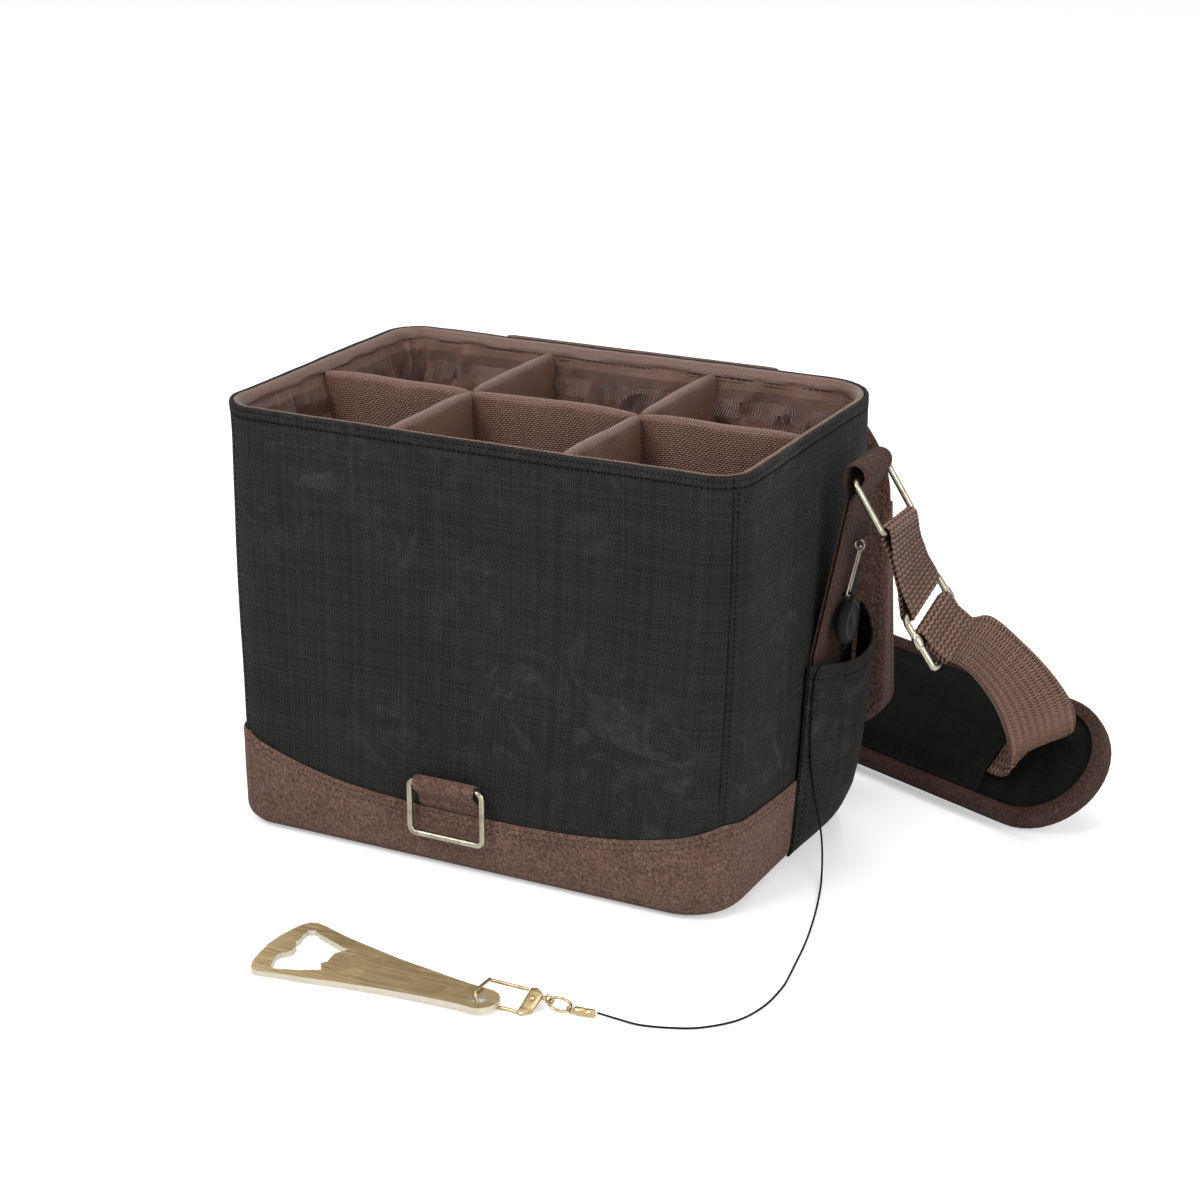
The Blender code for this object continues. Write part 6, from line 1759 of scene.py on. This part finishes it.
ringEnd = Vector((ringStart.x + flatReach, swivelY + ring["wire"], ferrule["z"]))
ringAlong = (ringEnd - ringStart).normalized()
wire(
    "ovalRing", circle((ringStart + ringEnd) / 2, ring["radius"], ringAlong, (0, 1, 0), 40), ring["wire"], brass,
    ringAlong.cross(Vector((0, 1, 0))), True, body="oval_ring", slotName="brass", replaced=("oval_ring",),
)
ferruleEyeLine = circle(ringEnd, ferrule["eye"], (1, 0, 0), (0, 0, 1), 26)
wire("ferruleEye", ferruleEyeLine, ferrule["wire"], brass, (0, 1, 0), True, slotName="brass")
heading = math.radians(ferrule["heading"])
ferruleWay = Vector((math.cos(heading), math.sin(heading), 0))
hubStart = ringEnd + ferruleWay * ferrule["hubFrom"]
turned("cordFerrule", hubStart, ferruleWay, ferrule["hub"], brass, slotName="brass", replaced=("ferrule",), steps=24)
print("stage: opener and cord")

# plain pale studio
studio = {
    "floor": (0.86, 0.86, 0.86), "half": 14, "floorDrop": 0.0001, "floorRough": 0.28, "floorGloss": 0.35,
    "key": 38.0, "fill": 27.0, "back": 18.0, "sky": 0.38, "lift": 0.38,
}
floorHalf = studio["half"]
floorCorners = [(-floorHalf, -floorHalf, 0), (floorHalf, -floorHalf, 0), (floorHalf, floorHalf, 0), (-floorHalf, floorHalf, 0)]
floorMesh = bpy.data.meshes.new("studioFloor")
floorMesh.from_pydata(floorCorners, [], [(0, 1, 2, 3)])
floor = bpy.data.objects.new("studioFloor", floorMesh)
bpy.context.scene.collection.objects.link(floor)
floor.location.z = -studio["floorDrop"]
floorSkin, tree, shader = newMaterial("studioFloor")
shader.inputs["Base Color"].default_value = (*studio["floor"], 1)
shader.inputs["Roughness"].default_value = studio["floorRough"]
shader.inputs["Specular IOR Level"].default_value = studio["floorGloss"]
shader.inputs["Emission Color"].default_value = (1, 1, 1, 1)
rays = addNode(tree, "ShaderNodeLightPath")
seen = maths(tree, "MAXIMUM", rays.outputs["Is Camera Ray"], rays.outputs["Is Glossy Ray"])
join(tree, maths(tree, "MULTIPLY", seen, studio["lift"]), shader.inputs["Emission Strength"])
floorMesh.materials.append(floorSkin)

world = bpy.data.worlds.new("studioWorld")
bpy.context.scene.world = world
world.use_nodes = True
tree = world.node_tree
tree.nodes.clear()
output = addNode(tree, "ShaderNodeOutputWorld")
soft = addNode(tree, "ShaderNodeBackground", {"Color": (1, 1, 1, 1), "Strength": studio["sky"]})
white = addNode(tree, "ShaderNodeBackground", {"Color": (1, 1, 1, 1), "Strength": 1.0})
rays = addNode(tree, "ShaderNodeLightPath")
seen = maths(tree, "MAXIMUM", rays.outputs["Is Camera Ray"], rays.outputs["Is Glossy Ray"])
seen = maths(tree, "MAXIMUM", seen, rays.outputs["Is Transmission Ray"])
mixed = addNode(tree, "ShaderNodeMixShader")
join(tree, seen, mixed.inputs[0])
join(tree, soft.outputs[0], mixed.inputs[1])
join(tree, white.outputs[0], mixed.inputs[2])
join(tree, mixed.outputs[0], output.inputs[0])


def softLamp(name, place, target, size, power):
    data = bpy.data.lights.new(name, "AREA")
    data.shape = "RECTANGLE"
    data.size, data.size_y = size
    data.energy = power
    lamp = bpy.data.objects.new(name, data)
    bpy.context.scene.collection.objects.link(lamp)
    lamp.location = place
    lamp.rotation_mode = "QUATERNION"
    lamp.rotation_quaternion = (Vector(target) - Vector(place)).to_track_quat("-Z", "Y")


softLamp("keyLamp", (-0.7, -1.5, 1.9), (0, 0, 0.1), (1.2, 1.2), studio["key"])
softLamp("fillLamp", (1.9, -0.9, 1.1), (0, 0, 0.1), (1.3, 1.3), studio["fill"])
softLamp("topLamp", (0.1, 0.5, 2.2), (0, 0.05, 0.1), (1.6, 1.2), studio["back"])
bpy.context.scene.view_settings.view_transform = "Standard"
print("stage: studio")
